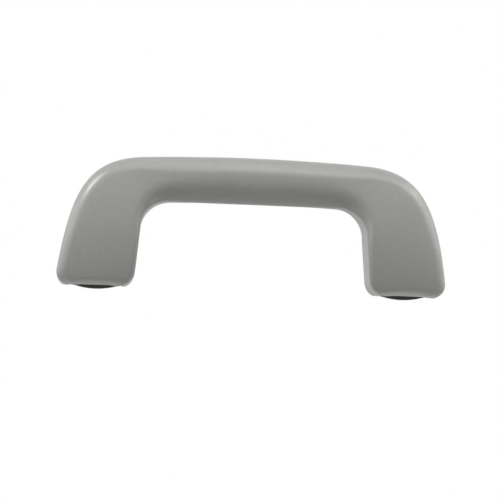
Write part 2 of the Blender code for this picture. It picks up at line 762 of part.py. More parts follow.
def build_bracket_shape(parts, tools, material):
    """Moulded hinge bracket about its own middle: plate, pin ears, screw cup and locating lug."""
    bracket = prism("bracket", plate_outline(), 0, -PLATE_THICKNESS, parts)
    cup = rounded_rectangle(CUP_WIDTH, CUP_HEIGHT, CUP_CORNER_RADIUS)
    boolean(bracket, prism("cup_tool", cup, -PLATE_THICKNESS / 2, CUP_FRONT_Y, tools), "UNION")
    for direction in (-1, 1):
        near, far = direction * EAR_SPACING / 2, direction * EAR_OUTSIDE
        ear = prism_along_x("ear_tool", ear_outline(), near, far, tools)
        boolean(bracket, ear, "UNION")
    boolean(bracket, locating_lug(tools), "UNION")
    hollow = rounded_rectangle(
        CUP_WIDTH - 2 * CUP_WALL, CUP_HEIGHT - 2 * CUP_WALL, CUP_CORNER_RADIUS - CUP_WALL / 2
    )
    lightening_middle = FOOT_END_Z + LIGHTENING_EDGE + LIGHTENING_HEIGHT / 2
    lightening = rounded_rectangle(
        LIGHTENING_WIDTH, LIGHTENING_HEIGHT, CUP_CORNER_RADIUS, lightening_middle
    )
    reach = EAR_OUTSIDE + OVERCUT
    cutters = (
        prism("cup_hollow_tool", hollow, SEAT_Y, CUP_FRONT_Y - OVERCUT, tools),
        prism("lightening_tool", lightening, OVERCUT, -LIGHTENING_DEPTH, tools),
        rod_along_y("screw_hole_tool", SCREW_RADIUS + SEAT_GAP, SEAT_Y - OVERCUT, OVERCUT, 0, 0, tools),
        rod_along_x("ear_hole_tool", BUSH_RADIUS + SEAT_GAP, -reach, reach, PIVOT_Y, PIVOT_Z, tools),
    )
    for cutter in cutters:
        boolean(bracket, cutter, "DIFFERENCE")
    made = settled(bracket, "bracket_shape", parts, material)
    smooth(made)
    return made


def ear_outline():
    """Side view of a pin ear: a round nose about the pin and a root that widens up the plate."""
    nose = arc((PIVOT_Y, PIVOT_Z), EAR_NOSE_RADIUS, math.radians(110), math.radians(270), 2 * CORNER_STEPS)
    root_y = -PLATE_THICKNESS / 2
    return [*nose, (root_y, PIVOT_Z - EAR_NOSE_RADIUS), (root_y, PIVOT_Z + EAR_ROOT_RISE)]


def locating_lug(collection):
    """Lug behind the plate that enters the roof rail and stops the bracket from turning."""
    chamfer = LUG_HEIGHT / 4
    low, high = LUG_ABOVE_SCREW - LUG_HEIGHT / 2, LUG_ABOVE_SCREW + LUG_HEIGHT / 2
    outline = [
        (-PLATE_THICKNESS / 2, low),
        (LUG_LENGTH - chamfer, low),
        (LUG_LENGTH, low + chamfer),
        (LUG_LENGTH, high - chamfer),
        (LUG_LENGTH - chamfer, high),
        (-PLATE_THICKNESS / 2, high),
    ]
    return prism_along_x("lug_tool", outline, -LUG_WIDTH / 2, LUG_WIDTH / 2, collection)


def copies(shape, stem, parts):
    """One object a side with the shape's mesh, in place of the shape."""
    for side, sign in SIDES.items():
        placed = bpy.data.objects.new(f"{stem}_{side}", shape.data)
        parts.objects.link(placed)
        placed.matrix_world = Matrix.Translation((sign * BRACKET_X, 0, 0)) @ shape.matrix_world
    bpy.data.objects.remove(shape)


def build_pins(parts, material):
    inner_face, outer_face = POCKET_SPAN
    start = inner_face + SEAT_GAP
    length = outer_face - SEAT_GAP - start
    bevel = PIN_CHAMFER
    profile = [
        (0, length),
        (PIN_RADIUS - bevel, length),
        (PIN_RADIUS, length - bevel),
        (PIN_RADIUS, bevel),
        (PIN_RADIUS - bevel, 0),
        (0, 0),
    ]
    for side, sign in SIDES.items():
        pin = turned(f"pivot_pin_{side}", profile, parts, material, bored=False)
        lay_along_x(pin, sign * start, PIVOT_Y, PIVOT_Z, sign)
        smooth(pin)


def build_bushes(parts, material):
    """Flanged bushes in the ears, with the flange between the ear and the grip's boss."""
    flange_low = EAR_THICKNESS + SEAT_GAP
    flange_high = flange_low + BUSH_FLANGE_THICKNESS
    profile = [
        (BUSH_FLANGE_RADIUS, flange_high),
        (BUSH_FLANGE_RADIUS, flange_low),
        (BUSH_RADIUS, flange_low),
        (BUSH_RADIUS, 0),
        (PIN_HOLE_RADIUS, 0),
        (PIN_HOLE_RADIUS, flange_high),
    ]
    for side, sign in SIDES.items():
        for place, direction in (("inner", -sign), ("outer", sign)):
            bush = turned(f"ear_bush_{side}_{place}", profile, parts, material, bored=True)
            x = sign * BRACKET_X + direction * EAR_SPACING / 2
            lay_along_x(bush, x, PIVOT_Y, PIVOT_Z, direction)
            smooth(bush)


def spring_path():
    """Centre line of the return spring: arm on the plate, coil round the pin, arm on the front wall."""
    reach = SPRING_WIRE_RADIUS + SEAT_GAP
    plate_y = PIVOT_STANDOFF - PLATE_THICKNESS - reach
    arm_x, arm_z = BRACKET_X - SPRING_TURNS * SPRING_PITCH / 2, PIVOT_Z - SPRING_ARM_DROP
    wall_y = front_wall_y(arm_x, arm_z) - PIVOT_Y + reach
    first = tangent_angle((plate_y, -SPRING_ARM_DROP), 1)
    last = tangent_angle((wall_y, -SPRING_ARM_DROP), -1)
    sweep = 2 * math.pi * SPRING_TURNS + (last - first) % (2 * math.pi)
    half_length = SPRING_PITCH * sweep / (4 * math.pi)
    steps = 16 * SPRING_TURNS
    path = arm_points((plate_y, -SPRING_ARM_DROP), first, -half_length)
    for k in range(steps + 1):
        angle = first + sweep * k / steps
        x = -half_length + 2 * half_length * k / steps
        path.append((x, SPRING_COIL_RADIUS * math.cos(angle), SPRING_COIL_RADIUS * math.sin(angle)))
    path += reversed(arm_points((wall_y, -SPRING_ARM_DROP), last, half_length))
    return path


def tangent_angle(tip, turn):
    """Angle about the pin at which a straight arm from tip touches the coil, for a coil wound by turn."""
    distance = math.hypot(*tip)
    return math.atan2(tip[1], tip[0]) + turn * math.acos(min(SPRING_COIL_RADIUS / distance, 1.0))


def arm_points(tip, angle, x):
    """Arm from its tip to where it meets the coil, which is left out."""
    touch = (SPRING_COIL_RADIUS * math.cos(angle), SPRING_COIL_RADIUS * math.sin(angle))
    shares = (0.0, 0.4, 0.8)
    return [(x, tip[0] + (touch[0] - tip[0]) * s, tip[1] + (touch[1] - tip[1]) * s) for s in shares]


def build_spring(parts, material):
    curve = bpy.data.curves.new("return_spring", "CURVE")
    curve.dimensions = "3D"
    curve.bevel_depth = SPRING_WIRE_RADIUS
    curve.bevel_resolution = 2
    curve.use_fill_caps = True
    path = spring_path()
    spline = curve.splines.new("POLY")
    spline.points.add(len(path) - 1)
    for point, place in zip(spline.points, path):
        point.co = (*place, 1.0)
    spring = add_object("return_spring", curve, parts, material)
    spring.location = (-BRACKET_X, PIVOT_Y, PIVOT_Z)


def build_spool(parts, material):
    """Sleeve that keeps the spring's coil central on its pin."""
    half_length = EAR_SPACING / 2 - SEAT_GAP
    profile = tube_profile(PIN_HOLE_RADIUS, PIN_HOLE_RADIUS + SPOOL_WALL, -half_length, half_length)
    spool = turned("spring_spool", profile, parts, material, bored=True)
    lay_along_x(spool, -BRACKET_X, PIVOT_Y, PIVOT_Z)
    smooth(spool)


def build_damper(parts, tools, barrel_material, rotor_material):
    """Viscous damper on the right pin: barrel keyed to the plate, rotor turning with the pin, and lid."""
    start = -EAR_SPACING / 2 + SEAT_GAP
    end = start + DAMPER_LENGTH
    bore = DAMPER_RADIUS - DAMPER_WALL
    rotor_radius = bore - SEAT_GAP
    barrel_profile = [
        (DAMPER_RADIUS, end),
        (DAMPER_RADIUS, start),
        (PIN_HOLE_RADIUS, start),
        (PIN_HOLE_RADIUS, start + DAMPER_WALL),
        (bore, start + DAMPER_WALL),
        (bore, end),
    ]
    barrel = turned("damper_barrel_shape", barrel_profile, parts, barrel_material, bored=True)
    lay_along_x(barrel, BRACKET_X, PIVOT_Y, PIVOT_Z)
    half_fin = DAMPER_FIN_THICKNESS / 2
    fin = box(
        "damper_fin_tool",
        (BRACKET_X + start + DAMPER_WALL, PIVOT_Y + DAMPER_RADIUS - DAMPER_WALL / 2, PIVOT_Z - half_fin),
        (BRACKET_X + end - DAMPER_WALL, -PLATE_THICKNESS - SEAT_GAP, PIVOT_Z + half_fin),
        tools,
    )
    boolean(barrel, fin, "UNION")
    smooth(settled(barrel, "damper_barrel", parts, barrel_material))

    lid_start = end + SEAT_GAP
    lid_end = lid_start + DAMPER_LID_THICKNESS
    lid_profile = tube_profile(bore, DAMPER_RADIUS, lid_start, lid_end)
    lid = turned("damper_lid", lid_profile, parts, barrel_material, bored=True)
    lay_along_x(lid, BRACKET_X, PIVOT_Y, PIVOT_Z)
    smooth(lid)

    rotor_end = EAR_SPACING / 2 - SEAT_GAP
    collar_start = lid_end + SEAT_GAP
    rotor_profile = [
        (ROTOR_COLLAR_RADIUS, rotor_end),
        (ROTOR_COLLAR_RADIUS, collar_start),
        (rotor_radius, collar_start),
        (rotor_radius, start + DAMPER_WALL + SEAT_GAP),
        (PIN_HOLE_RADIUS, start + DAMPER_WALL + SEAT_GAP),
        (PIN_HOLE_RADIUS, rotor_end),
    ]
    rotor = turned("damper_rotor", rotor_profile, parts, rotor_material, bored=True)
    lay_along_x(rotor, BRACKET_X, PIVOT_Y, PIVOT_Z)
    smooth(rotor)


def build_screw_shape(parts, tools, material):
    """Fixing screw about its own middle, its flange on the cup's floor."""
    flange_low = SEAT_GAP
    flange_high = flange_low + SCREW_FLANGE_THICKNESS
    head_high = flange_high + SCREW_HEX_HEIGHT
    tip = flange_low - SCREW_LENGTH
    profile = [
        (0, flange_high),
        (SCREW_FLANGE_RADIUS * 0.8, flange_high),
        (SCREW_FLANGE_RADIUS, flange_low + SCREW_FLANGE_THICKNESS / 2),
        (SCREW_FLANGE_RADIUS, flange_low),
        (SCREW_RADIUS, flange_low),
        (SCREW_RADIUS, tip + SCREW_POINT),
        (SCREW_RADIUS - SCREW_POINT / 2, tip),
        (0, tip),
    ]
    screw = turned("screw", profile, parts, material, bored=False)
    screw.rotation_euler = (math.pi / 2, 0, 0)
    screw.location = (0, SEAT_Y, 0)
    head_start, head_end = SEAT_Y - flange_low - SCREW_FLANGE_THICKNESS / 2, SEAT_Y - head_high
    hex_radius = SCREW_HEX_ACROSS_FLATS / 2 / math.cos(math.pi / 6)
    boolean(screw, rod_along_y("hex_tool", hex_radius, head_start, head_end, 0, 0, tools, sides=6), "UNION")
    lobes = []
    for k in range(ROUND_STEPS * 2):
        angle = math.pi * k / ROUND_STEPS
        radius = SCREW_DRIVE_RADIUS + SCREW_DRIVE_LOBE * math.cos(6 * angle)
        lobes.append((radius * math.cos(angle), radius * math.sin(angle)))
    drive = prism("drive_tool", lobes, head_end + SCREW_DRIVE_DEPTH, head_end - OVERCUT, tools)
    boolean(screw, drive, "DIFFERENCE")
    made = settled(screw, "screw_shape", parts, material)
    smooth(made)
    return made


def build_cap_shape(parts, tools, material):
    """Snap-in cover over the screw cup, with two hooks inside the cup and a notch to lever it out by."""
    top = CUP_HEIGHT / 2 + CAP_OVERHANG
    outline = rounded_rectangle(CUP_WIDTH + 2 * CAP_OVERHANG, 2 * top, CUP_CORNER_RADIUS)
    back = CUP_FRONT_Y - SEAT_GAP
    front = back - CAP_THICKNESS
    cap = prism("cap", outline, back, front, parts)
    bevel = cap.modifiers.new("Front edge", "BEVEL")
    bevel.width = CAP_THICKNESS / 3
    bevel.segments = 2
    bevel.limit_method = "ANGLE"
    bevel.angle_limit = math.radians(60)
    wall_x = CUP_WIDTH / 2 - CUP_WALL - SEAT_GAP
    for direction in (-1, 1):
        near, far = sorted((direction * wall_x, direction * (wall_x - CAP_HOOK_THICKNESS)))
        hook = box(
            "hook_tool",
            (near, back - CAP_THICKNESS / 2, -CAP_HOOK_WIDTH / 2),
            (far, back + CAP_HOOK_LENGTH, CAP_HOOK_WIDTH / 2),
            tools,
        )
        boolean(cap, hook, "UNION")
    notch = box(
        "notch_tool",
        (-CAP_NOTCH_WIDTH / 2, front - OVERCUT, top - CAP_NOTCH_DEPTH),
        (CAP_NOTCH_WIDTH / 2, front + CAP_THICKNESS * 0.6, top + OVERCUT),
        tools,
    )
    boolean(cap, notch, "DIFFERENCE")
    made = settled(cap, "cap_shape", parts, material)
    smooth(made)
    return made


def build_buffers(parts, material):
    """Rubber buffers in the back of the legs, which meet the roof lining."""
    floor = FOOT_BACK_Y - BUFFER_SEAT_DEPTH
    head_low = SEAT_GAP
    head_high = -BUFFER_STANDOFF - floor
    edge = (head_high - head_low) / 3
    profile = [
        (0, head_high),
        (BUFFER_HEAD_RADIUS - edge, head_high),
        (BUFFER_HEAD_RADIUS, head_high - edge),
        (BUFFER_HEAD_RADIUS, head_low),
        (BUFFER_STEM_RADIUS, head_low),
        (BUFFER_STEM_RADIUS, -BUFFER_STEM_LENGTH + edge),
        (BUFFER_STEM_RADIUS - edge, -BUFFER_STEM_LENGTH),
        (0, -BUFFER_STEM_LENGTH),
    ]
    for side, sign in SIDES.items():
        buffer = turned(f"buffer_{side}", profile, parts, material, bored=False)
        buffer.rotation_euler = (-math.pi / 2, 0, 0)
        buffer.location = (sign * (BRACKET_X - BUFFER_INBOARD), floor, BUFFER_ABOVE_SCREW)
        smooth(buffer)


def main():
    clear_scene()
    parts = new_collection("roof_grab_handle")
    tools = new_collection("tools")
    trim = Finish("grey_trim_plastic", (0.27, 0.27, 0.262), 0.42).material()
    nylon = Finish("black_nylon", (0.018, 0.018, 0.019), 0.55).material()
    acetal = Finish("white_acetal", (0.72, 0.71, 0.67), 0.4).material()
    bright_steel = Finish("bright_steel", (0.6, 0.6, 0.6), 0.3, 1.0).material()
    zinc = Finish("zinc_plated_steel", (0.66, 0.65, 0.6), 0.36, 1.0).material()
    rubber = Finish("black_rubber", (0.02, 0.02, 0.02), 0.85).material()

    build_grip(parts, tools, trim)
    copies(build_bracket_shape(parts, tools, nylon), "hinge_bracket", parts)
    copies(build_screw_shape(parts, tools, zinc), "fixing_screw", parts)
    copies(build_cap_shape(parts, tools, trim), "screw_cap", parts)
    build_pins(parts, bright_steel)
    build_bushes(parts, acetal)
    build_spring(parts, bright_steel)
    build_spool(parts, acetal)
    build_damper(parts, tools, nylon, acetal)
    build_buffers(parts, rubber)


main()
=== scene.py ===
"""Looks of a folding roof grab handle: a grey moulded grip on two black hinge brackets.

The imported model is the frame: X runs along the bar, +Y points into the roof rail and +Z up, in metres.
"""

import logging
import math
from collections.abc import Callable, Sequence
from dataclasses import dataclass, replace
from enum import Enum

import bpy
from mathutils import Matrix, Vector
from mathutils.geometry import interpolate_bezier, intersect_line_sphere_2d


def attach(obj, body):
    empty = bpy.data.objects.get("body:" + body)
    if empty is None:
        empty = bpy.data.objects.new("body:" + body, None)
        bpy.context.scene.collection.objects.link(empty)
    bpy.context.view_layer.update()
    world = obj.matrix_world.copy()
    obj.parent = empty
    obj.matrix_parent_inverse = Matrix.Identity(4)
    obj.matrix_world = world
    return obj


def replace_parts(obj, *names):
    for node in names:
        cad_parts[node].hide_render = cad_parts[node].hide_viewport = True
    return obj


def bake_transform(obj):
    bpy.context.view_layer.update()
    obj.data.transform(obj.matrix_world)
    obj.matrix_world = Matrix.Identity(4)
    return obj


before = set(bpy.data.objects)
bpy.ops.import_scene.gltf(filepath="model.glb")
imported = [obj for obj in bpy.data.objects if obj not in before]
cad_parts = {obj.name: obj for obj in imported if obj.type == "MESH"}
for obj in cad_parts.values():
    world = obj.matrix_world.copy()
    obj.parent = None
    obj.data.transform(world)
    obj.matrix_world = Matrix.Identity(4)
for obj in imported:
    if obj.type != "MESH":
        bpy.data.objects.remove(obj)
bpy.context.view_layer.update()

MM = 0.001
MERGE_DISTANCE = 0.001 * MM
SEAM_DISTANCE = 0.05 * MM
FLAT_WITHIN = math.radians(0.5)
SMOOTH_WITHIN = math.radians(32.0)
ROD_SIDES = 48
SIDES = ("left", "right")
WHITE = (1.0, 1.0, 1.0, 1.0)
HANDLE_MIDDLE = (0.0, -0.014, 0.013)

Ring = list[Vector]
Pair = tuple[float, float]
Triple = tuple[float, float, float]
Piece = bpy.types.Object
Material = bpy.types.Material
Node = bpy.types.Node
Socket = bpy.types.NodeSocket


class Turn(Enum):
    """Rotation that lays a cylinder, which is added upright, along an axis."""

    ALONG_X = (0.0, math.pi / 2, 0.0)
    ALONG_Y = (math.pi / 2, 0.0, 0.0)


class Body(Enum):
    """What a piece moves with."""

    BRACKETS = "brackets"
    GRIP = "grip"


class Cut(Enum):
    """How one solid is worked with another."""

    AWAY = "DIFFERENCE"
    TOGETHER = "UNION"


# Hand tools


def deselect() -> None:
    """Deselects every object, so that the next operator acts only on what it is meant for."""
    bpy.ops.object.select_all(action="DESELECT")


def pick(piece: Piece) -> None:
    """Makes a piece the only one selected, and the active one.

    Args:
        piece: The object to work on next.
    """
    deselect()
    piece.select_set(True)
    bpy.context.view_layer.objects.active = piece


def settle(name: str) -> Piece:
    """Names the primitive that was just added and moves its place into its mesh.

    Args:
        name: Name of the object and its mesh.

    Returns:
        The object, at the origin, unturned and unscaled.
    """
    piece = bpy.context.object
    piece.name = name
    piece.data.name = name
    bpy.ops.object.transform_apply(location=True, rotation=True, scale=True)
    return piece


def edit(piece: Piece, *steps: Callable[[], object]) -> None:
    """Runs edit-mode operators in order on the whole of a piece.

    Args:
        piece: The object to shape.
        steps: What to do, each with everything selected before it.
    """
    pick(piece)
    bpy.ops.object.mode_set(mode="EDIT")
    for step in steps:
        bpy.ops.mesh.select_all(action="SELECT")
        step()
    bpy.ops.object.mode_set(mode="OBJECT")


def merge_doubles() -> None:
    """Merges the selected points that lie on each other."""
    bpy.ops.mesh.remove_doubles(threshold=MERGE_DISTANCE)


def face_outwards() -> None:
    """Turns the selected faces outwards."""
    bpy.ops.mesh.normals_make_consistent(inside=False)


def close_ends() -> None:
    """Closes every open end of the mesh."""
    bpy.ops.mesh.fill_holes(sides=0)


def lay_points(piece: Piece, places: Sequence[Vector]) -> None:
    """Puts each point of a piece's mesh in its place, in the points' own order."""
    piece.data.vertices.foreach_set("co", [value for place in places for value in place])
    piece.data.update()


def add_block(name: str, low: Sequence[float], high: Sequence[float]) -> Piece:
    """Adds a block between two corners.

    Args:
        name: Name of the block.
        low: Its lowest corner.
        high: Its highest corner.

    Returns:
        The block.
    """
    deselect()
    low, high = Vector(low), Vector(high)
    bpy.ops.mesh.primitive_cube_add(size=1, location=(low + high) / 2, scale=high - low)
    return settle(name)


def add_rod(name: str, radius: float, centre: Sequence[float], length: float, turn: Turn) -> Piece:
    """Adds a round rod.

    Args:
        name: Name of the rod.
        radius: Its radius.
        centre: The middle of its axis.
        length: Its length.
        turn: The axis that it lies along.

    Returns:
        The rod.
    """
    deselect()
    bpy.ops.mesh.primitive_cylinder_add(
        vertices=ROD_SIDES, radius=radius, depth=length, location=centre, rotation=turn.value
    )
    return settle(name)


def add_prism(name: str, outline: Ring, travel: Vector) -> Piece:
    """Adds a disc, lays its rim on an outline and extrudes it.

    Args:
        name: Name of the prism.
        outline: Points round its first face.
        travel: How far and which way that face is extruded.

    Returns:
        The prism.
    """
    deselect()
    bpy.ops.mesh.primitive_circle_add(vertices=len(outline), fill_type="NGON")
    piece = settle(name)
    lay_points(piece, outline)
    edit(
        piece,
        lambda: bpy.ops.mesh.extrude_region_move(TRANSFORM_OT_translate={"value": travel}),
        face_outwards,
    )
    return piece


def add_skin(name: str, rings: list[Ring]) -> Piece:
    """Adds a grid, rolls it round a row of rings and merges its seam. Its ends stay open.

    Args:
        name: Name of the skin.
        rings: Rings with equal numbers of points.

    Returns:
        The skin.
    """
    around = len(rings[0])
    deselect()
    bpy.ops.mesh.primitive_grid_add(x_subdivisions=around, y_subdivisions=len(rings) - 1, size=1)
    piece = settle(name)
    lay_points(piece, [ring[k % around] for ring in rings for k in range(around + 1)])
    edit(piece, merge_doubles)
    return piece


def modify(piece: Piece, name: str, kind: str, **settings: object) -> None:
    """Puts a modifier on a piece and applies it.

    Args:
        piece: The object to work on.
        name: The modifier's name.
        kind: The modifier's type.
        settings: The modifier's own settings.
    """
    pick(piece)
    modifier = piece.modifiers.new(name, kind)
    for setting, value in settings.items():
        setattr(modifier, setting, value)
    bpy.ops.object.modifier_apply(modifier=modifier.name)


def work(target: Piece, tool: Piece, cut: Cut) -> None:
    """Cuts a tool's solid from a target or joins it on, and does away with the tool."""
    modify(target, tool.name, "BOOLEAN", object=tool, operation=cut.value)
    bpy.data.objects.remove(tool)


def mirror_across_middle(piece: Piece) -> None:
    """Adds the piece's mirror image on the other side of the middle."""
    modify(piece, "Other half", "MIRROR", merge_threshold=SEAM_DISTANCE)


def smooth(piece: Piece) -> None:
    """Shades a piece smooth, apart from its sharp edges."""
    pick(piece)
    bpy.ops.object.shade_smooth_by_angle(angle=SMOOTH_WITHIN)


def merged_copy(node: str, name: str) -> Piece:
    """Copies a CAD node with a mesh of its own, whose loose triangles are merged.

    Args:
        node: The CAD node.
        name: Name of the copy.

    Returns:
        The copy, which stands for the node.
    """
    piece = bpy.data.objects.new(name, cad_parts[node].data.copy())
    bpy.context.scene.collection.objects.link(piece)
    piece.data.name = name
    edit(piece, merge_doubles, lambda: bpy.ops.mesh.dissolve_limited(angle_limit=FLAT_WITHIN))
    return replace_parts(piece, node)


# Shared effects


class NodeSheet:
    """Adds nodes to one node tree and links them."""

    COLUMN_WIDTH = 220
    ROW_HEIGHT = 60
    ROWS = 4

    def __init__(self, tree: bpy.types.NodeTree) -> None:
        """Starts on the tree that the nodes go into."""
        self.tree = tree
        self.count = 0

    def add(self, kind: str, inputs: dict | None = None, **settings: object) -> Node:
        """Adds a node.

        Args:
            kind: The node's type.
            inputs: What goes into its sockets, by name or number: a value, or an output to link.
            settings: The node's own settings.

        Returns:
            The node.
        """
        node = self.tree.nodes.new(kind)
        node.location = (self.COLUMN_WIDTH * self.count, -self.ROW_HEIGHT * (self.count % self.ROWS))
        self.count += 1
        for setting, value in settings.items():
            setattr(node, setting, value)
        self.feed(node, inputs or {})
        return node

    def feed(self, node: Node, inputs: dict) -> None:
        """Puts values or outputs into a node's sockets.

        Args:
            node: The node.
            inputs: What goes into its sockets, by name or number.
        """
        for socket, value in inputs.items():
            if isinstance(value, Socket):
                self.tree.links.new(value, node.inputs[socket])
            else:
                node.inputs[socket].default_value = value


VECTOR, NUMBER, COLOUR = "NodeSocketVector", "NodeSocketFloat", "NodeSocketColor"


@dataclass
class Effect:
    """A node group that several finishes share. It takes a place, a cell's size and sockets of its own."""

    name: str
    takes: dict[str, str]
    gives: dict[str, str]
    fill: Callable[[NodeSheet, Socket, Node], dict[str, Socket]]
    tree: bpy.types.NodeTree | None = None

    def build(self) -> bpy.types.NodeTree:
        """Builds the group the first time that it is asked for.

        Returns:
            The group's tree.
        """
        if self.tree is None:
            self.tree = bpy.data.node_groups.new(self.name, "ShaderNodeTree")
            for socket, kind in ({"Vector": VECTOR, "Size": NUMBER} | self.takes).items():
                self.tree.interface.new_socket(name=socket, in_out="INPUT", socket_type=kind)
            for socket, kind in self.gives.items():
                self.tree.interface.new_socket(name=socket, in_out="OUTPUT", socket_type=kind)
            sheet = NodeSheet(self.tree)
            given = sheet.add("NodeGroupInput")
            share = sheet.add("ShaderNodeMath", {0: 1.0, 1: given.outputs["Size"]}, operation="DIVIDE")
            scale = {0: given.outputs["Vector"], "Scale": share.outputs[0]}
            cells = sheet.add("ShaderNodeVectorMath", scale, operation="SCALE").outputs[0]
            sheet.add("NodeGroupOutput", self.fill(sheet, cells, given))
        return self.tree

    def place(self, sheet: NodeSheet, inputs: dict) -> Node:
        """Places the group in a material, with values or outputs for its sockets."""
        return sheet.add("ShaderNodeGroup", inputs, node_tree=self.build())


def swing(sheet: NodeSheet, noise: Socket, amount: Socket) -> Socket:
    """Turns a noise into a swing about nought.

    Args:
        sheet: The sheet to add to.
        noise: The noise, from 0 to 1.
        amount: How far it swings either way.

    Returns:
        The swing.
    """
    reach = {"Value": noise, "From Min": 0.25, "From Max": 0.75, "To Min": -1.0, "To Max": 1.0}
    spread = sheet.add("ShaderNodeMapRange", reach, clamp=True)
    return sheet.add("ShaderNodeMath", {0: spread.outputs[0], 1: amount}, operation="MULTIPLY").outputs[0]


def fill_grain(sheet: NodeSheet, cells: Socket, given: Node) -> dict[str, Socket]:
    """Fine grain of a mould's eroded surface: small cells with a rough fill between them.

    Args:
        sheet: The group's sheet.
        cells: The place, in cells.
        given: The group's input node.

    Returns:
        The outputs that the group gives, by name.
    """
    pitted = {"Vector": cells, "Scale": 0.9, "Smoothness": 0.6}
    pits = sheet.add("ShaderNodeTexVoronoi", pitted, feature="SMOOTH_F1")
    rough = {"Vector": cells, "Scale": 1.7, "Detail": 2.0, "Roughness": 0.6}
    fill = sheet.add("ShaderNodeTexNoise", rough)
    share = {"Factor": 0.45, "A": pits.outputs["Distance"], "B": fill.outputs[0]}
    height = sheet.add("ShaderNodeMix", share)
    return {"Height": height.outputs["Result"]}


def fill_tone(sheet: NodeSheet, cells: Socket, given: Node) -> dict[str, Socket]:
    """Drift of a colour between a warm and a cool tint, with a finer drift in its brightness.

    Args:
        sheet: The group's sheet.
        cells: The place, in cells.
        given: The group's input node.

    Returns:
        The outputs that the group gives, by name.
    """
    slow = {"Vector": cells, "Scale": 1.0, "Detail": 2.0, "Roughness": 0.5}
    quick = {"Vector": cells, "Scale": 6.3, "Detail": 3.0, "Roughness": 0.6}
    broad, fine = (sheet.add("ShaderNodeTexNoise", pattern) for pattern in (slow, quick))
    reach = {"Value": broad.outputs[0], "From Min": 0.3, "From Max": 0.7}
    share = sheet.add("ShaderNodeMapRange", reach, clamp=True)
    tints = {"Factor": share.outputs[0], "A": given.outputs["Warm"], "B": given.outputs["Cool"]}
    tint = sheet.add("ShaderNodeMix", tints, data_type="RGBA")
    light = swing(sheet, fine.outputs[0], given.outputs["Swing"])
    factor = sheet.add("ShaderNodeMath", {0: light, 1: 1.0}, operation="ADD")
    lit = {0: tint.outputs["Result"], "Scale": factor.outputs[0]}
    scaled = sheet.add("ShaderNodeVectorMath", lit, operation="SCALE")
    return {"Color": scaled.outputs[0]}


def fill_sheen(sheet: NodeSheet, cells: Socket, given: Node) -> dict[str, Socket]:
    """Drift of a roughness, as where a surface is handled more in one place than in another.

    Args:
        sheet: The group's sheet.
        cells: The place, in cells.
        given: The group's input node.

    Returns:
        The outputs that the group gives, by name.
    """
    broad = {"Vector": cells, "Scale": 1.0, "Detail": 3.0, "Roughness": 0.55}
    noise = sheet.add("ShaderNodeTexNoise", broad)
    drift = swing(sheet, noise.outputs[0], given.outputs["Swing"])
    terms = {0: given.outputs["Roughness"], 1: drift}
    rough = sheet.add("ShaderNodeMath", terms, operation="ADD", use_clamp=True)
    return {"Roughness": rough.outputs[0]}


def fill_lines(sheet: NodeSheet, cells: Socket, given: Node) -> dict[str, Socket]:
    """Fine lines that turning or drawing leaves on metal, long along one direction.

    Args:
        sheet: The group's sheet.
        cells: The place, in cells.
        given: The group's input node.

    Returns:
        The outputs that the group gives, by name.
    """
    drawn = sheet.add("ShaderNodeVectorMath", {0: cells, 1: given.outputs["Stretch"]}, operation="MULTIPLY")
    noise = sheet.add("ShaderNodeTexNoise", {"Vector": drawn.outputs[0], "Scale": 1.0, "Detail": 4.0})
    return {"Height": noise.outputs[0]}


GRAIN = Effect("Moulded grain", {}, {"Height": NUMBER}, fill_grain)
TONE = Effect("Tone drift", {"Warm": COLOUR, "Cool": COLOUR, "Swing": NUMBER}, {"Color": COLOUR}, fill_tone)
SHEEN = Effect("Handling sheen", {"Roughness": NUMBER, "Swing": NUMBER}, {"Roughness": NUMBER}, fill_sheen)
LINES = Effect("Drawn lines", {"Stretch": VECTOR}, {"Height": NUMBER}, fill_lines)


# Finishes


@dataclass(frozen=True)
class Finish:
    """What one kind of surface looks like. Colours are linear, sizes in metres."""

    name: str
    warm: Triple
    cool: Triple
    roughness: float
    tone_size: float = 14 * MM
    tone_swing: float = 0.03
    sheen_size: float = 9 * MM
    sheen_swing: float = 0.04
    grain_size: float = 0.4 * MM
    grain_depth: float = 0.02 * MM
    grain_strength: float = 0.5
    metallic: float = 0.0
    refractive_index: float = 1.5
    lines: Triple | None = None

    def material(self) -> Material:
        """Builds the material.

        Returns:
            The material, whose patterns follow Object coordinates.
        """
        made = bpy.data.materials.new(self.name)
        made.use_nodes = True
        made.diffuse_color = (*self.warm, 1.0)
        sheet = NodeSheet(made.node_tree)
        shader = made.node_tree.nodes["Principled BSDF"]
        place = sheet.add("ShaderNodeTexCoord").outputs["Object"]
        drift = {"Vector": place, "Size": self.tone_size, "Swing": self.tone_swing}
        tone = TONE.place(sheet, drift | {"Warm": (*self.warm, 1.0), "Cool": (*self.cool, 1.0)})
        drift = {"Vector": place, "Size": self.sheen_size, "Swing": self.sheen_swing}
        sheen = SHEEN.place(sheet, drift | {"Roughness": self.roughness})
        relief = {"Height": self.surface(sheet, place), "Strength": self.grain_strength}
        bump = sheet.add("ShaderNodeBump", relief | {"Distance": self.grain_depth})
        inputs = {
            "Base Color": tone.outputs["Color"],
            "Roughness": sheen.outputs["Roughness"],
            "Normal": bump.outputs["Normal"],
            "Metallic": self.metallic,
            "IOR": self.refractive_index,
        }
        sheet.feed(shader, inputs)
        return made

    def surface(self, sheet: NodeSheet, place: Socket) -> Socket:
        """Adds the fine relief of the surface.

        Args:
            sheet: The material's sheet.
            place: Object coordinates.

        Returns:
            Its height.
        """
        if self.lines is None:
            return GRAIN.place(sheet, {"Vector": place, "Size": self.grain_size}).outputs["Height"]
        inputs = {"Vector": place, "Size": self.grain_size, "Stretch": self.lines}
        return LINES.place(sheet, inputs).outputs["Height"]


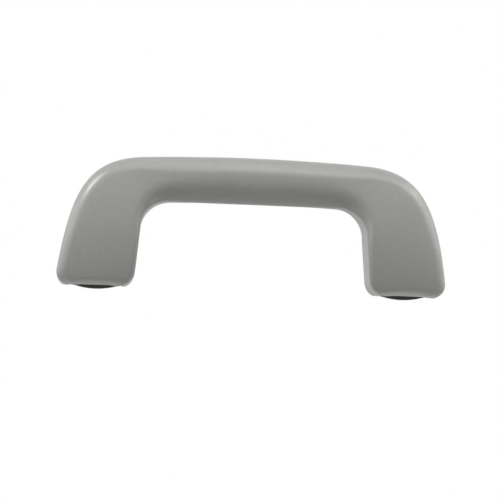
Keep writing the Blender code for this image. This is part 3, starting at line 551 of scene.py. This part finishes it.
TRIM = Finish("Grey grained trim", (0.274, 0.2725, 0.252), (0.267, 0.268, 0.261), 0.33, tone_swing=0.05)
CAP = Finish("Grey cap plastic", (0.262, 0.261, 0.25), (0.258, 0.258, 0.255), 0.46, grain_size=0.35 * MM)
NYLON = Finish(
    "Black glass-filled nylon",
    (0.02, 0.0195, 0.019),
    (0.016, 0.0165, 0.0175),
    0.5,
    tone_size=5 * MM,
    tone_swing=0.12,
    sheen_size=3 * MM,
    sheen_swing=0.08,
    grain_size=0.5 * MM,
)
ACETAL = Finish(
    "White acetal",
    (0.74, 0.73, 0.69),
    (0.71, 0.71, 0.69),
    0.34,
    tone_size=4 * MM,
    tone_swing=0.02,
    grain_size=0.6 * MM,
    grain_depth=0.008 * MM,
)
RUBBER = Finish(
    "Black rubber",
    (0.026, 0.025, 0.024),
    (0.021, 0.0215, 0.022),
    0.82,
    tone_size=2 * MM,
    tone_swing=0.15,
    sheen_size=1.5 * MM,
    grain_size=0.25 * MM,
)
STEEL = Finish(
    "Bright spring steel",
    (0.6, 0.59, 0.57),
    (0.56, 0.565, 0.57),
    0.26,
    tone_size=3 * MM,
    tone_swing=0.06,
    sheen_size=2 * MM,
    sheen_swing=0.06,
    grain_size=0.25 * MM,
    grain_depth=0.006 * MM,
    metallic=1.0,
    lines=(0.08, 1.0, 1.0),
)
ZINC = Finish(
    "Zinc-plated steel",
    (0.66, 0.63, 0.55),
    (0.58, 0.6, 0.63),
    0.34,
    tone_size=2.5 * MM,
    tone_swing=0.08,
    sheen_size=1.2 * MM,
    sheen_swing=0.08,
    grain_size=0.3 * MM,
    grain_depth=0.006 * MM,
    metallic=1.0,
    lines=(1.0, 0.2, 1.0),
)


def dress(piece: Piece, material: Material, body: Body | None) -> None:
    """Gives a finished piece its material and what it moves with, and reports it.

    Args:
        piece: The finished piece.
        material: Its material.
        body: What it moves with, or None for a piece that is tied to neither body.
    """
    piece.data.materials.clear()
    piece.data.materials.append(material)
    for polygon in piece.data.polygons:
        polygon.material_index = 0
    if body:
        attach(piece, body.value)
    logging.info("%s: %d faces, %s", piece.name, len(piece.data.polygons), material.name)


# Sub-assemblies


@dataclass(frozen=True)
class Section:
    """Rounded rectangle across the grip, from a point on its inner edge to one on its outer edge.

    Its corners go from the outer front one by the inner front one round to the outer back one. A corner
    has two radii, across the section and in its depth, each held to a share of its side.
    """

    inner: Vector
    outer: Vector
    back: float
    front: float
    corners: tuple[Pair, Pair, Pair, Pair]
    fall: Callable[[Vector], float]
    corner_steps: int = 14
    face_steps: int = 12
    largest_corner: float = 0.499

    def ring(self) -> Ring:
        """Lays out the section, its front face fallen back as the grip's face is crowned.

        Returns:
            Its points in order, beginning at the outer front corner.
        """
        width = (self.outer - self.inner).length
        depth = self.back - self.front
        along = (self.outer - self.inner) / width
        middle = (self.outer + self.inner) / 2
        flat = []
        for quarter, (across, forward) in enumerate(((1, 1), (-1, 1), (-1, -1), (1, -1))):
            wide = min(self.corners[quarter][0], self.largest_corner * width)
            deep = min(self.corners[quarter][1], self.largest_corner * depth)
            centre_u, centre_v = across * (width / 2 - wide), forward * (depth / 2 - deep)
            corner = []
            for step in range(self.corner_steps + 1):
                angle = (quarter + step / self.corner_steps) * math.pi / 2
                corner.append((centre_u + wide * math.cos(angle), centre_v + deep * math.sin(angle)))
            if quarter % 2 == 1:
                start, end = flat[-1], corner[0]
                for step in range(1, self.face_steps):
                    share = step / self.face_steps
                    flat.append((start[0] + (end[0] - start[0]) * share, start[1]))
            flat += corner
        points = []
        for u, v in flat:
            place = middle + along * u
            fall = self.fall(place) * (v / depth + 0.5)
            points.append(place + Vector((0, (self.back + self.front) / 2 - v + fall, 0)))
        return points


def rounding(radius: float, distance: float) -> float:
    """Measures how far a rounded corner has drawn in.

    Args:
        radius: The corner's radius.
        distance: How far from its end.

    Returns:
        How far it has drawn in there.
    """
    if distance >= radius:
        return 0.0
    return radius - math.sqrt(radius**2 - (radius - max(distance, 0.0)) ** 2)


def smoothstep(value: float) -> float:
    """Eases a share in and out, held from 0 to 1."""
    value = min(max(value, 0.0), 1.0)
    return value * value * (3 - 2 * value)


def place_where(line: Ring, measure: Callable[[Vector], float], value: float) -> Vector:
    """Finds the point of a line at which a steadily rising measure takes a value.

    Args:
        line: Points of the line.
        measure: The measure of a point.
        value: The value to find.

    Returns:
        The point.
    """
    for start, end in zip(line, line[1:]):
        low, high = measure(start), measure(end)
        if low <= value <= high and high > low:
            return start.lerp(end, (value - low) / (high - low))
    return line[0] if value < measure(line[0]) else line[-1]


def arc(centre: Sequence[float], radius: float, start: float, end: float, steps: int) -> list[Pair]:
    """Lays out points on an arc in a plane, between two angles in radians from the first axis."""
    angles = [start + (end - start) * k / steps for k in range(steps + 1)]
    return [(centre[0] + radius * math.cos(a), centre[1] + radius * math.sin(a)) for a in angles]


@dataclass
class Grip:
    """The grip: a round bar between two hollow feet, moulded in one piece of grained grey plastic."""

    flank_span: float = 230.38 * MM
    overall_height: float = 79.7 * MM
    bar_height: float = 27.6 * MM
    top_crown: float = 3.0 * MM
    underside_crown: float = 0.2 * MM
    crown_half_span: float = 80 * MM
    shoulder_run: float = 49 * MM
    shoulder_fullness: float = 0.73
    flank_fullness: float = 0.65
    flank_lean: float = 0.15
    foot_width: float = 45.69 * MM
    leg_lean: float = 0.085
    leg_fillet: float = 17 * MM
    foot_corner: float = 9.6 * MM
    flank_end_height: float = 4 * MM
    bar_back: float = -2.5 * MM
    bar_front: float = -26.5 * MM
    foot_back: float = -1 * MM
    bar_roundness: float = 0.96
    foot_front: float = -29.99 * MM
    side_fall: float = 2.6 * MM
    side_fall_run: float = 49 * MM
    crown_summit: float = 6 * MM
    crown_radius: float = 120 * MM
    foot_outer_edge: float = 6 * MM
    foot_inner_edge: float = 3 * MM
    foot_back_edge: float = 1.2 * MM
    foot_end_edge: float = 2 * MM
    foot_end_slope: float = math.radians(5.5)
    chin_height: float = 9 * MM
    chin_depth: float = 0.6 * MM
    lip_radius: float = 5 * MM
    lip_middle: float = 7 * MM
    lip_fade: float = 9 * MM
    lip_side_share: float = 0.25
    blend_on_bar: float = 20 * MM
    body_blend: Pair = (0.0, 50 * MM)
    inner_edge_blend: Pair = (12 * MM, 58 * MM)
    outer_edge_blend: Pair = (0.0, 58 * MM)
    wall: float = 2.8 * MM
    pocket_height: float = 44 * MM
    pocket_top_edge: float = 5 * MM
    back_edge: float = 0.3 * MM
    foot_end_z: float = -27 * MM
    pin_y: float = -12 * MM
    pin_z: float = -18 * MM
    pin_hole: float = 2.3 * MM
    pin_mouth: float = 3.4 * MM
    boss_radius: float = 4.5 * MM
    boss_web: float = 2.4 * MM
    boss_from_middle: float = 14.7 * MM
    rib_width: float = 3 * MM
    rib_to_pin: float = 7.5 * MM
    rib_slope: float = 6 * MM
    rib_drop: float = 7.7 * MM
    opening_width: float = 31 * MM
    seat_radius: float = 4.3 * MM
    seat_depth: float = 1.2 * MM
    seat_hole: float = 2.2 * MM
    seat_hole_depth: float = 5.5 * MM
    seat_inboard: float = 11 * MM
    seat_z: float = 30 * MM
    mouth_overcut: float = 0.3 * MM
    overcut: float = 5 * MM
    bar_crowding: float = 1.5
    crown_steps: int = 24
    shoulder_steps: int = 160
    bar_steps: int = 20
    corner_steps: int = 30
    leg_steps: int = 14
    end_steps: int = 16
    pocket_turn_steps: int = 8
    pocket_side_steps: int = 12
    pocket_corner_steps: int = 6
    pocket_face_steps: int = 8
    opening_steps: int = 12
    underside_steps: int = 40

    def __post_init__(self) -> None:
        """Lays out the front view's edge lines, which the rest is measured from."""
        self.top_z: float = self.foot_end_z + self.overall_height
        self.underside_z: float = self.top_z - self.bar_height
        self.outer_line: Ring = self.lay_outer_line()
        self.corner: Vector = self.find_leg_corner()
        self.pocket_inner: float = self.leg_inner_x(self.pin_z) + self.wall
        self.pocket_outer: float = self.leg_outer_x(self.pin_z) - self.wall
        self.bracket_x: float = (self.pocket_inner + self.pocket_outer) / 2
        self.front_wall: float = self.foot_front + self.wall

    def lay_outer_line(self) -> Ring:
        """Lays out the outer edge of the right half: crowned top, shoulder and leaning flank.

        Returns:
            Its points, from the middle of the bar down to the foot.
        """
        shoulder_x = self.flank_span / 2 - self.shoulder_run
        places = [shoulder_x * k / self.crown_steps for k in range(self.crown_steps)]
        crown = [Vector((x, 0, self.top_height(x))) for x in places]
        start = Vector((shoulder_x, 0, self.top_height(shoulder_x)))
        end = Vector((self.flank_span / 2, 0, self.foot_end_z + self.flank_end_height))
        slope = Vector((1, 0, -2 * self.top_crown * shoulder_x / self.crown_half_span**2)).normalized()
        upward = Vector((-math.sin(self.flank_lean), 0, math.cos(self.flank_lean)))
        top_handle = start + slope * self.shoulder_fullness * self.shoulder_run
        flank_handle = end + upward * self.flank_fullness * (start.z - end.z)
        return crown + interpolate_bezier(start, top_handle, flank_handle, end, self.shoulder_steps)

    def find_leg_corner(self) -> Vector:
        """Finds the centre of the fillet between the bar's underside and the leg's inner edge.

        Returns:
            The centre.
        """
        centre_z = self.underside_z - self.leg_fillet
        edge_x = self.flank_span / 2 - self.foot_width - self.leg_lean * (centre_z - self.foot_end_z)
        centre_x = edge_x - self.leg_fillet
        return Vector((centre_x, 0, self.underside_height(centre_x) - self.leg_fillet))

    def top_height(self, x: float) -> float:
        """Gives the height of the bar's crowned top at a place along it."""
        return self.top_z - self.top_crown * (x / self.crown_half_span) ** 2

    def underside_height(self, x: float) -> float:
        """Gives the height of the bar's underside at a place along it."""
        return self.underside_z - self.underside_crown * (x / self.crown_half_span) ** 2

    def leg_inner_x(self, z: float, inset: float = 0.0) -> float:
        """Finds the leg's inner edge at a height.

        Args:
            z: The height.
            inset: How far inside the plastic the edge is taken.

        Returns:
            Its place along the bar.
        """
        radius = self.leg_fillet + inset
        rise = z - self.corner.z
        if rise > 0:
            return self.corner.x + math.sqrt(max(radius**2 - rise**2, 0.0))
        return self.corner.x + radius - self.leg_lean * rise

    def leg_outer_x(self, z: float, inset: float = 0.0) -> float:
        """Finds the leg's outer edge, or a line inside it, at a height."""
        return place_where(self.outer_line, lambda point: -point.z, -z).x - inset

    def angle_about_corner(self, point: Vector) -> float:
        """Gives a point's angle about the leg's fillet, from straight up."""
        offset = point - self.corner
        return math.atan2(offset.x, offset.z)

    def face_fall(self, place: Vector) -> float:
        """Gives how far the crowned face of a foot has fallen back at a place."""
        across = max(place.x - self.flank_span / 2 + self.side_fall_run, 0.0) / self.side_fall_run
        return self.side_fall * across**2 + (place.z - self.crown_summit) ** 2 / (2 * self.crown_radius)

    def lip_fall(self, place: Vector) -> float:
        """Gives how much further than its end's rounding a foot's lower lip rolls back over the bracket.

        Args:
            place: A place on the foot's face.

        Returns:
            How far the face falls back there.
        """
        rise = place.z - self.foot_end_z
        beside = (abs(place.x - self.bracket_x) - self.lip_middle) / self.lip_fade
        share = 1 - (1 - self.lip_side_share) * smoothstep(beside)
        return share * (rounding(self.lip_radius, rise) - rounding(self.foot_end_edge, rise))

    def run_at_height(self, z: float) -> float:
        """Measures how far the blend has run at a height on the leg's inner edge.

        Args:
            z: The height.

        Returns:
            The run along the inner edge from where the bar's roundness begins to go.
        """
        rise = min(max(z - self.corner.z, 0.0), self.leg_fillet)
        round_corner = self.leg_fillet * math.acos(rise / self.leg_fillet)
        return self.blend_on_bar + round_corner + max(self.corner.z - z, 0.0)

    def section(
        self, inner: Vector, outer: Vector, run: float, side_inset: float = 0.0, end_inset: float = 0.0
    ) -> Section:
        """Lays out one section of the grip.

        Args:
            inner: Point on the inner edge line.
            outer: Point on the outer edge line.
            run: How far along the inner edge it stands from where the bar's roundness begins to go.
            side_inset: How far both sides are drawn in.
            end_inset: How far the front face is drawn in.

        Returns:
            The section.
        """

        def mix(bar_size: float, foot_size: float, span: Pair) -> float:
            """Takes a size between the bar's and the foot's."""
            return bar_size + (foot_size - bar_size) * smoothstep((run - span[0]) / (span[1] - span[0]))

        def edge(foot_radius: float, span: Pair) -> Pair:
            """Takes an edge between the bar's oval and the foot's rounding."""
            return (
                mix(self.bar_roundness * self.bar_height / 2, foot_radius, span),
                mix(self.bar_roundness * (self.bar_back - self.bar_front) / 2, foot_radius, span),
            )

        along = (outer - inner).normalized()
        crowned = mix(0.0, 1.0, self.body_blend)
        front_outer = edge(self.foot_outer_edge, self.outer_edge_blend)
        front_inner = edge(self.foot_inner_edge, self.inner_edge_blend)
        back_edges = edge(self.foot_back_edge, self.body_blend)
        return Section(
            inner + along * side_inset,
            outer - along * side_inset,
            mix(self.bar_back, self.foot_back, self.body_blend),
            mix(self.bar_front, self.foot_front, self.body_blend) + end_inset,
            (front_outer, front_inner, back_edges, back_edges),
            lambda place: crowned * self.face_fall(place),
        )

    def foot_ring(self, z: float) -> Ring:
        """Lays out the section of the foot at a height.

        Args:
            z: The height.

        Returns:
            Its points.
        """
        rise = z - self.foot_end_z
        chin = self.chin_depth * max(1 - rise / self.chin_height, 0.0) ** 2
        inner, outer = Vector((self.leg_inner_x(z), 0, z)), Vector((self.leg_outer_x(z), 0, z))
        end_inset = rounding(self.foot_end_edge, rise) + chin
        side_inset = rounding(self.foot_corner, rise)
        skin = self.section(inner, outer, self.run_at_height(z), side_inset, end_inset)
        return replace(skin, fall=lambda place: skin.fall(place) + self.lip_fall(place)).ring()

    def rings(self) -> list[Ring]:
        """Lays out the sections of the right half, from the middle of the bar down to the foot's end.

        Returns:
            The sections in that order.
        """
        blend_start = self.corner.x - self.blend_on_bar
        rings = []
        for k in range(self.bar_steps):
            x = self.corner.x * (1 - (1 - k / self.bar_steps) ** self.bar_crowding)
            inner, outer = Vector((x, 0, self.underside_height(x))), Vector((x, 0, self.top_height(x)))
            rings.append(self.section(inner, outer, x - blend_start).ring())
        for k in range(self.corner_steps):
            angle = math.pi / 2 * k / self.corner_steps
            toward = Vector((math.sin(angle), 0, math.cos(angle)))
            outer = place_where(self.outer_line, self.angle_about_corner, angle)
            run = self.blend_on_bar + self.leg_fillet * angle
            rings.append(self.section(self.corner + toward * self.leg_fillet, outer, run).ring())
        straight_end = self.foot_end_z + self.foot_corner
        for k in range(self.leg_steps):
            z = self.corner.z + (straight_end - self.corner.z) * k / self.leg_steps
            rings.append(self.foot_ring(z))
        for k in range(self.end_steps + 1):
            rise = self.foot_corner * (1 - math.sin(math.pi / 2 * k / self.end_steps))
            rings.append(self.foot_ring(self.foot_end_z + rise))
        return rings

    def pocket(self) -> Piece:
        """Makes the right foot's hollow, with its bosses, webs and stop rib left standing.

        Returns:
            The solid that is cut from the foot.
        """
        low, high = self.foot_end_z + self.wall, self.foot_end_z + self.wall + self.pocket_height
        edge = self.foot_corner - self.wall
        turn_steps, side_steps = self.pocket_turn_steps, self.pocket_side_steps
        turn = [1 - math.cos(math.pi / 2 * k / turn_steps) for k in range(turn_steps + 1)]
        straight = high - self.pocket_top_edge - low - edge
        heights = [low + edge * share for share in turn]
        heights += [low + edge + straight * k / side_steps for k in range(1, side_steps)]
        heights += [high - self.pocket_top_edge * share for share in reversed(turn)]
        back_corner = (self.back_edge, self.back_edge)
        rings = []
        for z in heights:
            inset = self.wall + rounding(edge, z - low) + rounding(self.pocket_top_edge, high - z)
            inner = Vector((self.leg_inner_x(z, inset), 0, z))
            skin = self.section(inner, Vector((self.leg_outer_x(z, inset), 0, z)), self.run_at_height(z))
            front_corners = (self.inside_corner(radii) for radii in skin.corners[:2])
            inside = replace(
                skin,
                back=self.overcut,
                front=skin.front + self.wall,
                corners=(*front_corners, back_corner, back_corner),
                corner_steps=self.pocket_corner_steps,
                face_steps=self.pocket_face_steps,
            )
            rings.append(inside.ring())
        pocket = add_skin("Pocket cutter", rings)
        edit(pocket, close_ends, face_outwards)
        work(pocket, self.opening(), Cut.TOGETHER)
        for kept in (*self.bosses(), self.stop_rib()):
            work(pocket, kept, Cut.AWAY)
        return pocket

    def inside_corner(self, radii: Pair) -> Pair:
        """Gives the radii on the inner side of the wall round a corner."""
        return max(radii[0] - self.wall, self.back_edge), max(radii[1] - self.wall, self.back_edge)

    def opening(self) -> Piece:
        """Makes the opening in the foot's underside that lets the bracket's plate through.

        Returns:
            Its cutter.
        """
        half = self.opening_width / 2
        low, x = self.foot_end_z - self.overcut, self.bracket_x
        outline = [Vector((x + half, self.overcut, low)), Vector((x - half, self.overcut, low))]
        for k in range(self.opening_steps + 1):
            x = self.bracket_x - half + 2 * half * k / self.opening_steps
            fall = self.face_fall(Vector((x, 0, self.foot_end_z)))
            outline.append(Vector((x, self.front_wall + fall, low)))
        travel = Vector((0, 0, self.overcut + self.wall + self.foot_corner / 2))
        return add_prism("Opening cutter", outline, travel)

    def bosses(self) -> list[Piece]:
        """Makes the pin bosses, each on a web to the front wall.

        Returns:
            The bosses and the webs.
        """
        spans = {
            "Inner": (self.pocket_inner - self.wall / 2, self.bracket_x - self.boss_from_middle),
            "Outer": (self.bracket_x + self.boss_from_middle, self.pocket_outer + self.wall / 2),
        }
        made = []
        for place, (start, end) in spans.items():
            centre = ((start + end) / 2, self.pin_y, self.pin_z)
            boss = add_rod(f"{place} boss", self.boss_radius, centre, end - start, Turn.ALONG_X)
            low = (start, self.foot_front, self.pin_z - self.boss_web / 2)
            high = (end, self.pin_y, self.pin_z + self.boss_web / 2)
            made += [boss, add_block(f"{place} web", low, high)]
        return made

    def stop_rib(self) -> Piece:
        """Makes the rib that meets the bracket's plate once the grip has swung a right angle.

        Returns:
            The rib.
        """
        start = self.bracket_x - self.rib_width / 2
        tip_y, low = self.pin_y - self.rib_to_pin, self.pin_z - self.rib_drop
        outline = [
            Vector((start, self.foot_front, low)),
            Vector((start, tip_y, low)),
            Vector((start, tip_y, self.pin_z)),
            Vector((start, self.foot_front, self.pin_z + self.rib_slope)),
        ]
        return add_prism("Stop rib", outline, Vector((self.rib_width, 0, 0)))

    def foot_end_cutter(self) -> Piece:
        """Makes the cutter that slants the feet's undersides up and rounds them about the pins.

        Returns:
            The cutter.
        """
        radius = self.foot_back - self.pin_y
        fall = self.face_fall(Vector((self.bracket_x, 0, self.foot_end_z)))
        start = Vector((self.front_wall + fall, self.foot_end_z))
        rise = Vector((math.cos(self.foot_end_slope), math.sin(self.foot_end_slope))) * radius
        meetings = intersect_line_sphere_2d(start, start + rise, (self.pin_y, self.pin_z), radius, False)
        meeting = max(meetings, key=lambda point: point.x)
        angle = math.atan2(meeting.y - self.pin_z, meeting.x - self.pin_y)
        before, below = start - rise / 2, self.foot_end_z - self.overcut
        turn = arc((self.pin_y, self.pin_z), radius, angle, 0, self.underside_steps)
        outline = [tuple(before), *turn]
        outline += [(self.overcut, self.pin_z), (self.overcut, below), (before.x, below)]
        ring = [Vector((-self.flank_span, y, z)) for y, z in outline]
        return add_prism("Foot end cutter", ring, Vector((2 * self.flank_span, 0, 0)))

    def pin_seats(self) -> list[Piece]:
        """Makes the pin hole through both bosses of a foot, with the mouth that the pin snaps in by.

        Returns:
            The cutters of the hole and of its mouth.
        """
        length = self.pocket_outer - self.pocket_inner
        centre = (self.bracket_x, self.pin_y, self.pin_z)
        hole = add_rod("Pin hole", self.pin_hole, centre, length, Turn.ALONG_X)
        low = (self.pocket_inner, self.pin_y, self.pin_z - self.pin_mouth / 2)
        mouth_y = self.pin_y + self.boss_radius + self.mouth_overcut
        high = (self.pocket_outer, mouth_y, self.pin_z + self.pin_mouth / 2)
        return [hole, add_block("Pin mouth", low, high)]

    def buffer_seats(self) -> list[Piece]:
        """Makes the seat and the hole for a buffer in the back of a leg.

        Returns:
            Their cutters.
        """
        x, floor = self.bracket_x - self.seat_inboard, self.foot_back - self.seat_depth
        seat_centre = (x, (floor + self.overcut) / 2, self.seat_z)
        seat = add_rod("Buffer seat", self.seat_radius, seat_centre, self.overcut - floor, Turn.ALONG_Y)
        end = floor + self.seat_depth / 2
        start = self.foot_back - self.seat_hole_depth
        hole_centre = (x, (start + end) / 2, self.seat_z)
        hole = add_rod("Buffer hole", self.seat_hole, hole_centre, end - start, Turn.ALONG_Y)
        return [seat, hole]

    def build(self) -> Piece:
        """Makes the whole grip.

        Returns:
            The grip, which stands for the CAD node.
        """
        grip = add_skin("grip_moulding", self.rings())
        mirror_across_middle(grip)
        edit(grip, close_ends, merge_doubles, face_outwards)
        for tool in (self.pocket(), *self.pin_seats()):
            mirror_across_middle(tool)
            work(grip, tool, Cut.AWAY)
        work(grip, self.foot_end_cutter(), Cut.AWAY)
        for tool in self.buffer_seats():
            mirror_across_middle(tool)
            work(grip, tool, Cut.AWAY)
        smooth(grip)
        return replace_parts(grip, "grip")

    def dress(self, material: Material) -> None:
        """Builds and dresses the grip."""
        dress(self.build(), material, Body.GRIP)


def both_sides(name: str) -> tuple[str, ...]:
    """Gives the names of the left and the right node of a kind."""
    return tuple(f"{name}_{side}" for side in SIDES)


@dataclass
class NodeCopies:
    """Pieces whose CAD shape is right: they get merged meshes, a finish and, with an edge, rounded edges."""

    nodes: tuple[str, ...]
    body: Body
    slot: str
    edge: float = 0.0
    edge_segments: int = 2
    sharper_than: float = math.radians(50.0)

    def build(self) -> list[Piece]:
        """Makes one merged copy of each node.

        Returns:
            The copies.
        """
        made = []
        for node in self.nodes:
            piece = merged_copy(node, f"{node}_piece")
            if self.edge:
                modify(
                    piece,
                    "Rounded edges",
                    "BEVEL",
                    width=self.edge,
                    segments=self.edge_segments,
                    limit_method="ANGLE",
                    angle_limit=self.sharper_than,
                )
            smooth(piece)
            made.append(piece)
        return made

    def dress(self, material: Material) -> None:
        """Builds and dresses the copies."""
        for piece in self.build():
            dress(piece, material, self.body)


@dataclass
class ReturnSpring:
    """Torsion spring round the left pin: one arm stays on the bracket, the other goes with the grip."""

    node: str = "return_spring"
    pin: str = "pivot_pin_left"
    slot: str = "spring_steel"
    arm_width: float = 1.4 * MM

    def build(self) -> Piece:
        """Makes the spring, whose CAD shape is right.

        Returns:
            The spring.
        """
        spring = merged_copy(self.node, f"{self.node}_piece")
        smooth(spring)
        return spring

    def dress(self, material: Material) -> None:
        """Builds and dresses the spring, which is tied to neither body, and bakes its place into its mesh.

        Args:
            material: Its material.
        """
        spring = self.build()
        dress(spring, material, None)
        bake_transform(spring)


# Studio


@dataclass(frozen=True)
class Lamp:
    """A square soft lamp that faces the handle, placed by its direction from it.

    The angles are in degrees, the power in watts, and the distance and the width in metres.
    """

    name: str
    azimuth: float
    elevation: float
    power: float
    distance: float = 1.0
    width: float = 0.5

    def build(self, target: Vector) -> None:
        """Adds the lamp.

        Args:
            target: The place that it faces, which its direction is taken from.
        """
        across, up = math.radians(self.azimuth), math.radians(self.elevation)
        away = Vector((math.sin(across) * math.cos(up), -math.cos(across) * math.cos(up), math.sin(up)))
        deselect()
        turn = away.to_track_quat("Z", "Y").to_euler()
        bpy.ops.object.light_add(type="AREA", location=target + away * self.distance, rotation=turn)
        lamp = bpy.context.object
        lamp.name = self.name
        lamp.data.size = self.width
        lamp.data.energy = self.power
        lamp.visible_camera = False


@dataclass
class Studio:
    """Plain pale floor, white surroundings and soft lamps."""

    floor_z: float = -0.45
    floor_width: float = 3.0
    floor_glow: float = 0.45
    floor_colour: tuple[float, float, float, float] = (0.8, 0.8, 0.795, 1.0)
    floor_roughness: float = 0.9
    surround: float = 0.01
    lamps: tuple[Lamp, ...] = (
        Lamp("High front softbox", 0, 50, 1.73),
        Lamp("Top front softbox", 0, 60, 0.35),
        Lamp("Top softbox", 0, 80, 0.39, 0.55, 0.3),
        Lamp("High right front softbox", 25, 50, 1.54),
        Lamp("Upper left softbox", -60, 45, 4.44, 1.0, 0.25),
        Lamp("Upper right softbox", 60, 45, 1.32, 1.0, 0.25),
        Lamp("Right rim softbox", 90, 50, 0.22),
        Lamp("Right back lamp", 100, 45, 0.42, 1.0, 0.15),
        Lamp("Near left lamp", -90, 5, 0.26, 0.35, 0.25),
        Lamp("Near right lamp", 90, 5, 0.21, 0.35, 0.25),
        Lamp("Near upper left lamp", -75, 25, 0.21, 0.35, 0.25),
        Lamp("Near upper right lamp", 75, 25, 0.35, 0.35, 0.25),
        Lamp("Near front left lamp", -50, 5, 0.24, 0.4, 0.25),
        Lamp("Near front right lamp", 50, 5, 0.145, 0.4, 0.25),
        Lamp("Low left lamp", -90, -50, 0.035, 0.17, 0.1),
        Lamp("Low right lamp", 90, -50, 0.045, 0.17, 0.1),
    )

    def build(self) -> None:
        """Builds the floor, the surroundings and the lamps."""
        self.build_floor()
        self.build_world()
        for lamp in self.lamps:
            lamp.build(Vector(HANDLE_MIDDLE))

    def build_world(self) -> None:
        """Makes the surroundings: white where they are seen or mirrored, dim where they only give light."""
        world = bpy.data.worlds.new("White surroundings")
        bpy.context.scene.world = world
        world.use_nodes = True
        world.node_tree.nodes.clear()
        sheet = NodeSheet(world.node_tree)
        dim = sheet.add("ShaderNodeBackground", {"Color": WHITE, "Strength": self.surround})
        white = sheet.add("ShaderNodeBackground", {"Color": WHITE, "Strength": 1.0})
        inputs = {0: self.seen_directly(sheet), 1: dim.outputs[0], 2: white.outputs[0]}
        mixed = sheet.add("ShaderNodeMixShader", inputs)
        sheet.add("ShaderNodeOutputWorld", {"Surface": mixed.outputs[0]})

    def build_floor(self) -> None:
        """Makes the floor, which is see-through from below so that the handle shows from there too."""
        deselect()
        bpy.ops.mesh.primitive_plane_add(size=self.floor_width, location=(0, 0, self.floor_z))
        floor = settle("Studio floor")
        material = bpy.data.materials.new("Pale floor")
        material.use_nodes = True
        shader = material.node_tree.nodes["Principled BSDF"]
        sheet = NodeSheet(material.node_tree)
        sheet.feed(shader, {"Base Color": self.floor_colour, "Roughness": self.floor_roughness})
        seen = self.seen_directly(sheet)
        glow = sheet.add("ShaderNodeMath", {0: seen, 1: self.floor_glow}, operation="MULTIPLY")
        lift = sheet.add("ShaderNodeEmission", {"Color": WHITE, "Strength": glow.outputs[0]})
        lit = sheet.add("ShaderNodeAddShader", {0: shader.outputs[0], 1: lift.outputs[0]})
        facing = sheet.add("ShaderNodeNewGeometry").outputs["Backfacing"]
        clear = sheet.add("ShaderNodeBsdfTransparent")
        mixed = sheet.add("ShaderNodeMixShader", {0: facing, 1: lit.outputs[0], 2: clear.outputs[0]})
        sheet.feed(material.node_tree.nodes["Material Output"], {"Surface": mixed.outputs[0]})
        floor.data.materials.append(material)

    def seen_directly(self, sheet: NodeSheet) -> Socket:
        """Tells rays that see or mirror the surroundings from those that only gather light.

        Args:
            sheet: The sheet to add to.

        Returns:
            1 for the camera's rays and for mirrored and refracted ones, otherwise 0.
        """
        path = sheet.add("ShaderNodeLightPath")
        inputs = {0: path.outputs["Is Camera Ray"], 1: path.outputs["Is Glossy Ray"]}
        either = sheet.add("ShaderNodeMath", inputs, operation="MAXIMUM")
        inputs = {0: either.outputs[0], 1: path.outputs["Is Transmission Ray"]}
        return sheet.add("ShaderNodeMath", inputs, operation="MAXIMUM").outputs[0]


@dataclass
class Camera:
    """The photograph's view: from in front, a little to the left and below, with a long lens."""

    place: Triple = (-0.0814, -1.1201, -0.1128)
    target: Triple = HANDLE_MIDDLE
    target_right: float = 1.81 * MM
    target_up: float = 14.55 * MM
    roll: float = 0.032
    lens: float = 135.86
    sensor_width: float = 36
    nearest: float = 0.01
    farthest: float = 50

    def build(self) -> None:
        """Adds the camera, aimed so that the target lands right of and above the picture's middle."""
        place = Vector(self.place)
        turn = (place - Vector(self.target)).to_track_quat("Z", "Y").to_matrix()
        turn = turn @ Matrix.Rotation(self.roll, 3, "Z")
        aim = Vector(self.target) - turn.col[0] * self.target_right - turn.col[1] * self.target_up
        turn = (place - aim).to_track_quat("Z", "Y").to_matrix() @ Matrix.Rotation(self.roll, 3, "Z")
        deselect()
        bpy.ops.object.camera_add(location=place, rotation=turn.to_euler())
        camera = bpy.context.object
        camera.name = "Photograph camera"
        camera.data.sensor_width = self.sensor_width
        camera.data.lens = self.lens
        camera.data.clip_start = self.nearest
        camera.data.clip_end = self.farthest
        bpy.context.scene.camera = camera


def main() -> None:
    """Builds the handle's pieces in order, then the studio and the camera."""
    logging.basicConfig(level=logging.INFO, format="%(message)s")
    bpy.context.scene.view_settings.view_transform = "Standard"
    Grip().dress(TRIM.material())
    nylon, acetal, steel = NYLON.material(), ACETAL.material(), STEEL.material()
    NodeCopies(both_sides("hinge_bracket"), Body.BRACKETS, "black_nylon", edge=0.2 * MM).dress(nylon)
    NodeCopies(both_sides("fixing_screw"), Body.BRACKETS, "zinc_plated_steel").dress(ZINC.material())
    NodeCopies(both_sides("screw_cap"), Body.BRACKETS, "grey_cap_plastic").dress(CAP.material())
    NodeCopies(both_sides("pivot_pin"), Body.GRIP, "bright_steel").dress(steel)
    bushes = tuple(f"{bush}_{place}" for bush in both_sides("ear_bush") for place in ("inner", "outer"))
    NodeCopies(bushes, Body.BRACKETS, "white_acetal").dress(acetal)
    ReturnSpring().dress(steel)
    NodeCopies(("spring_spool",), Body.GRIP, "white_acetal").dress(acetal)
    NodeCopies(("damper_barrel", "damper_lid"), Body.BRACKETS, "black_nylon").dress(nylon)
    NodeCopies(("damper_rotor",), Body.GRIP, "white_acetal").dress(acetal)
    NodeCopies(both_sides("buffer"), Body.GRIP, "black_rubber").dress(RUBBER.material())
    Studio().build()
    Camera().build()


if __name__ == "__main__":
    main()
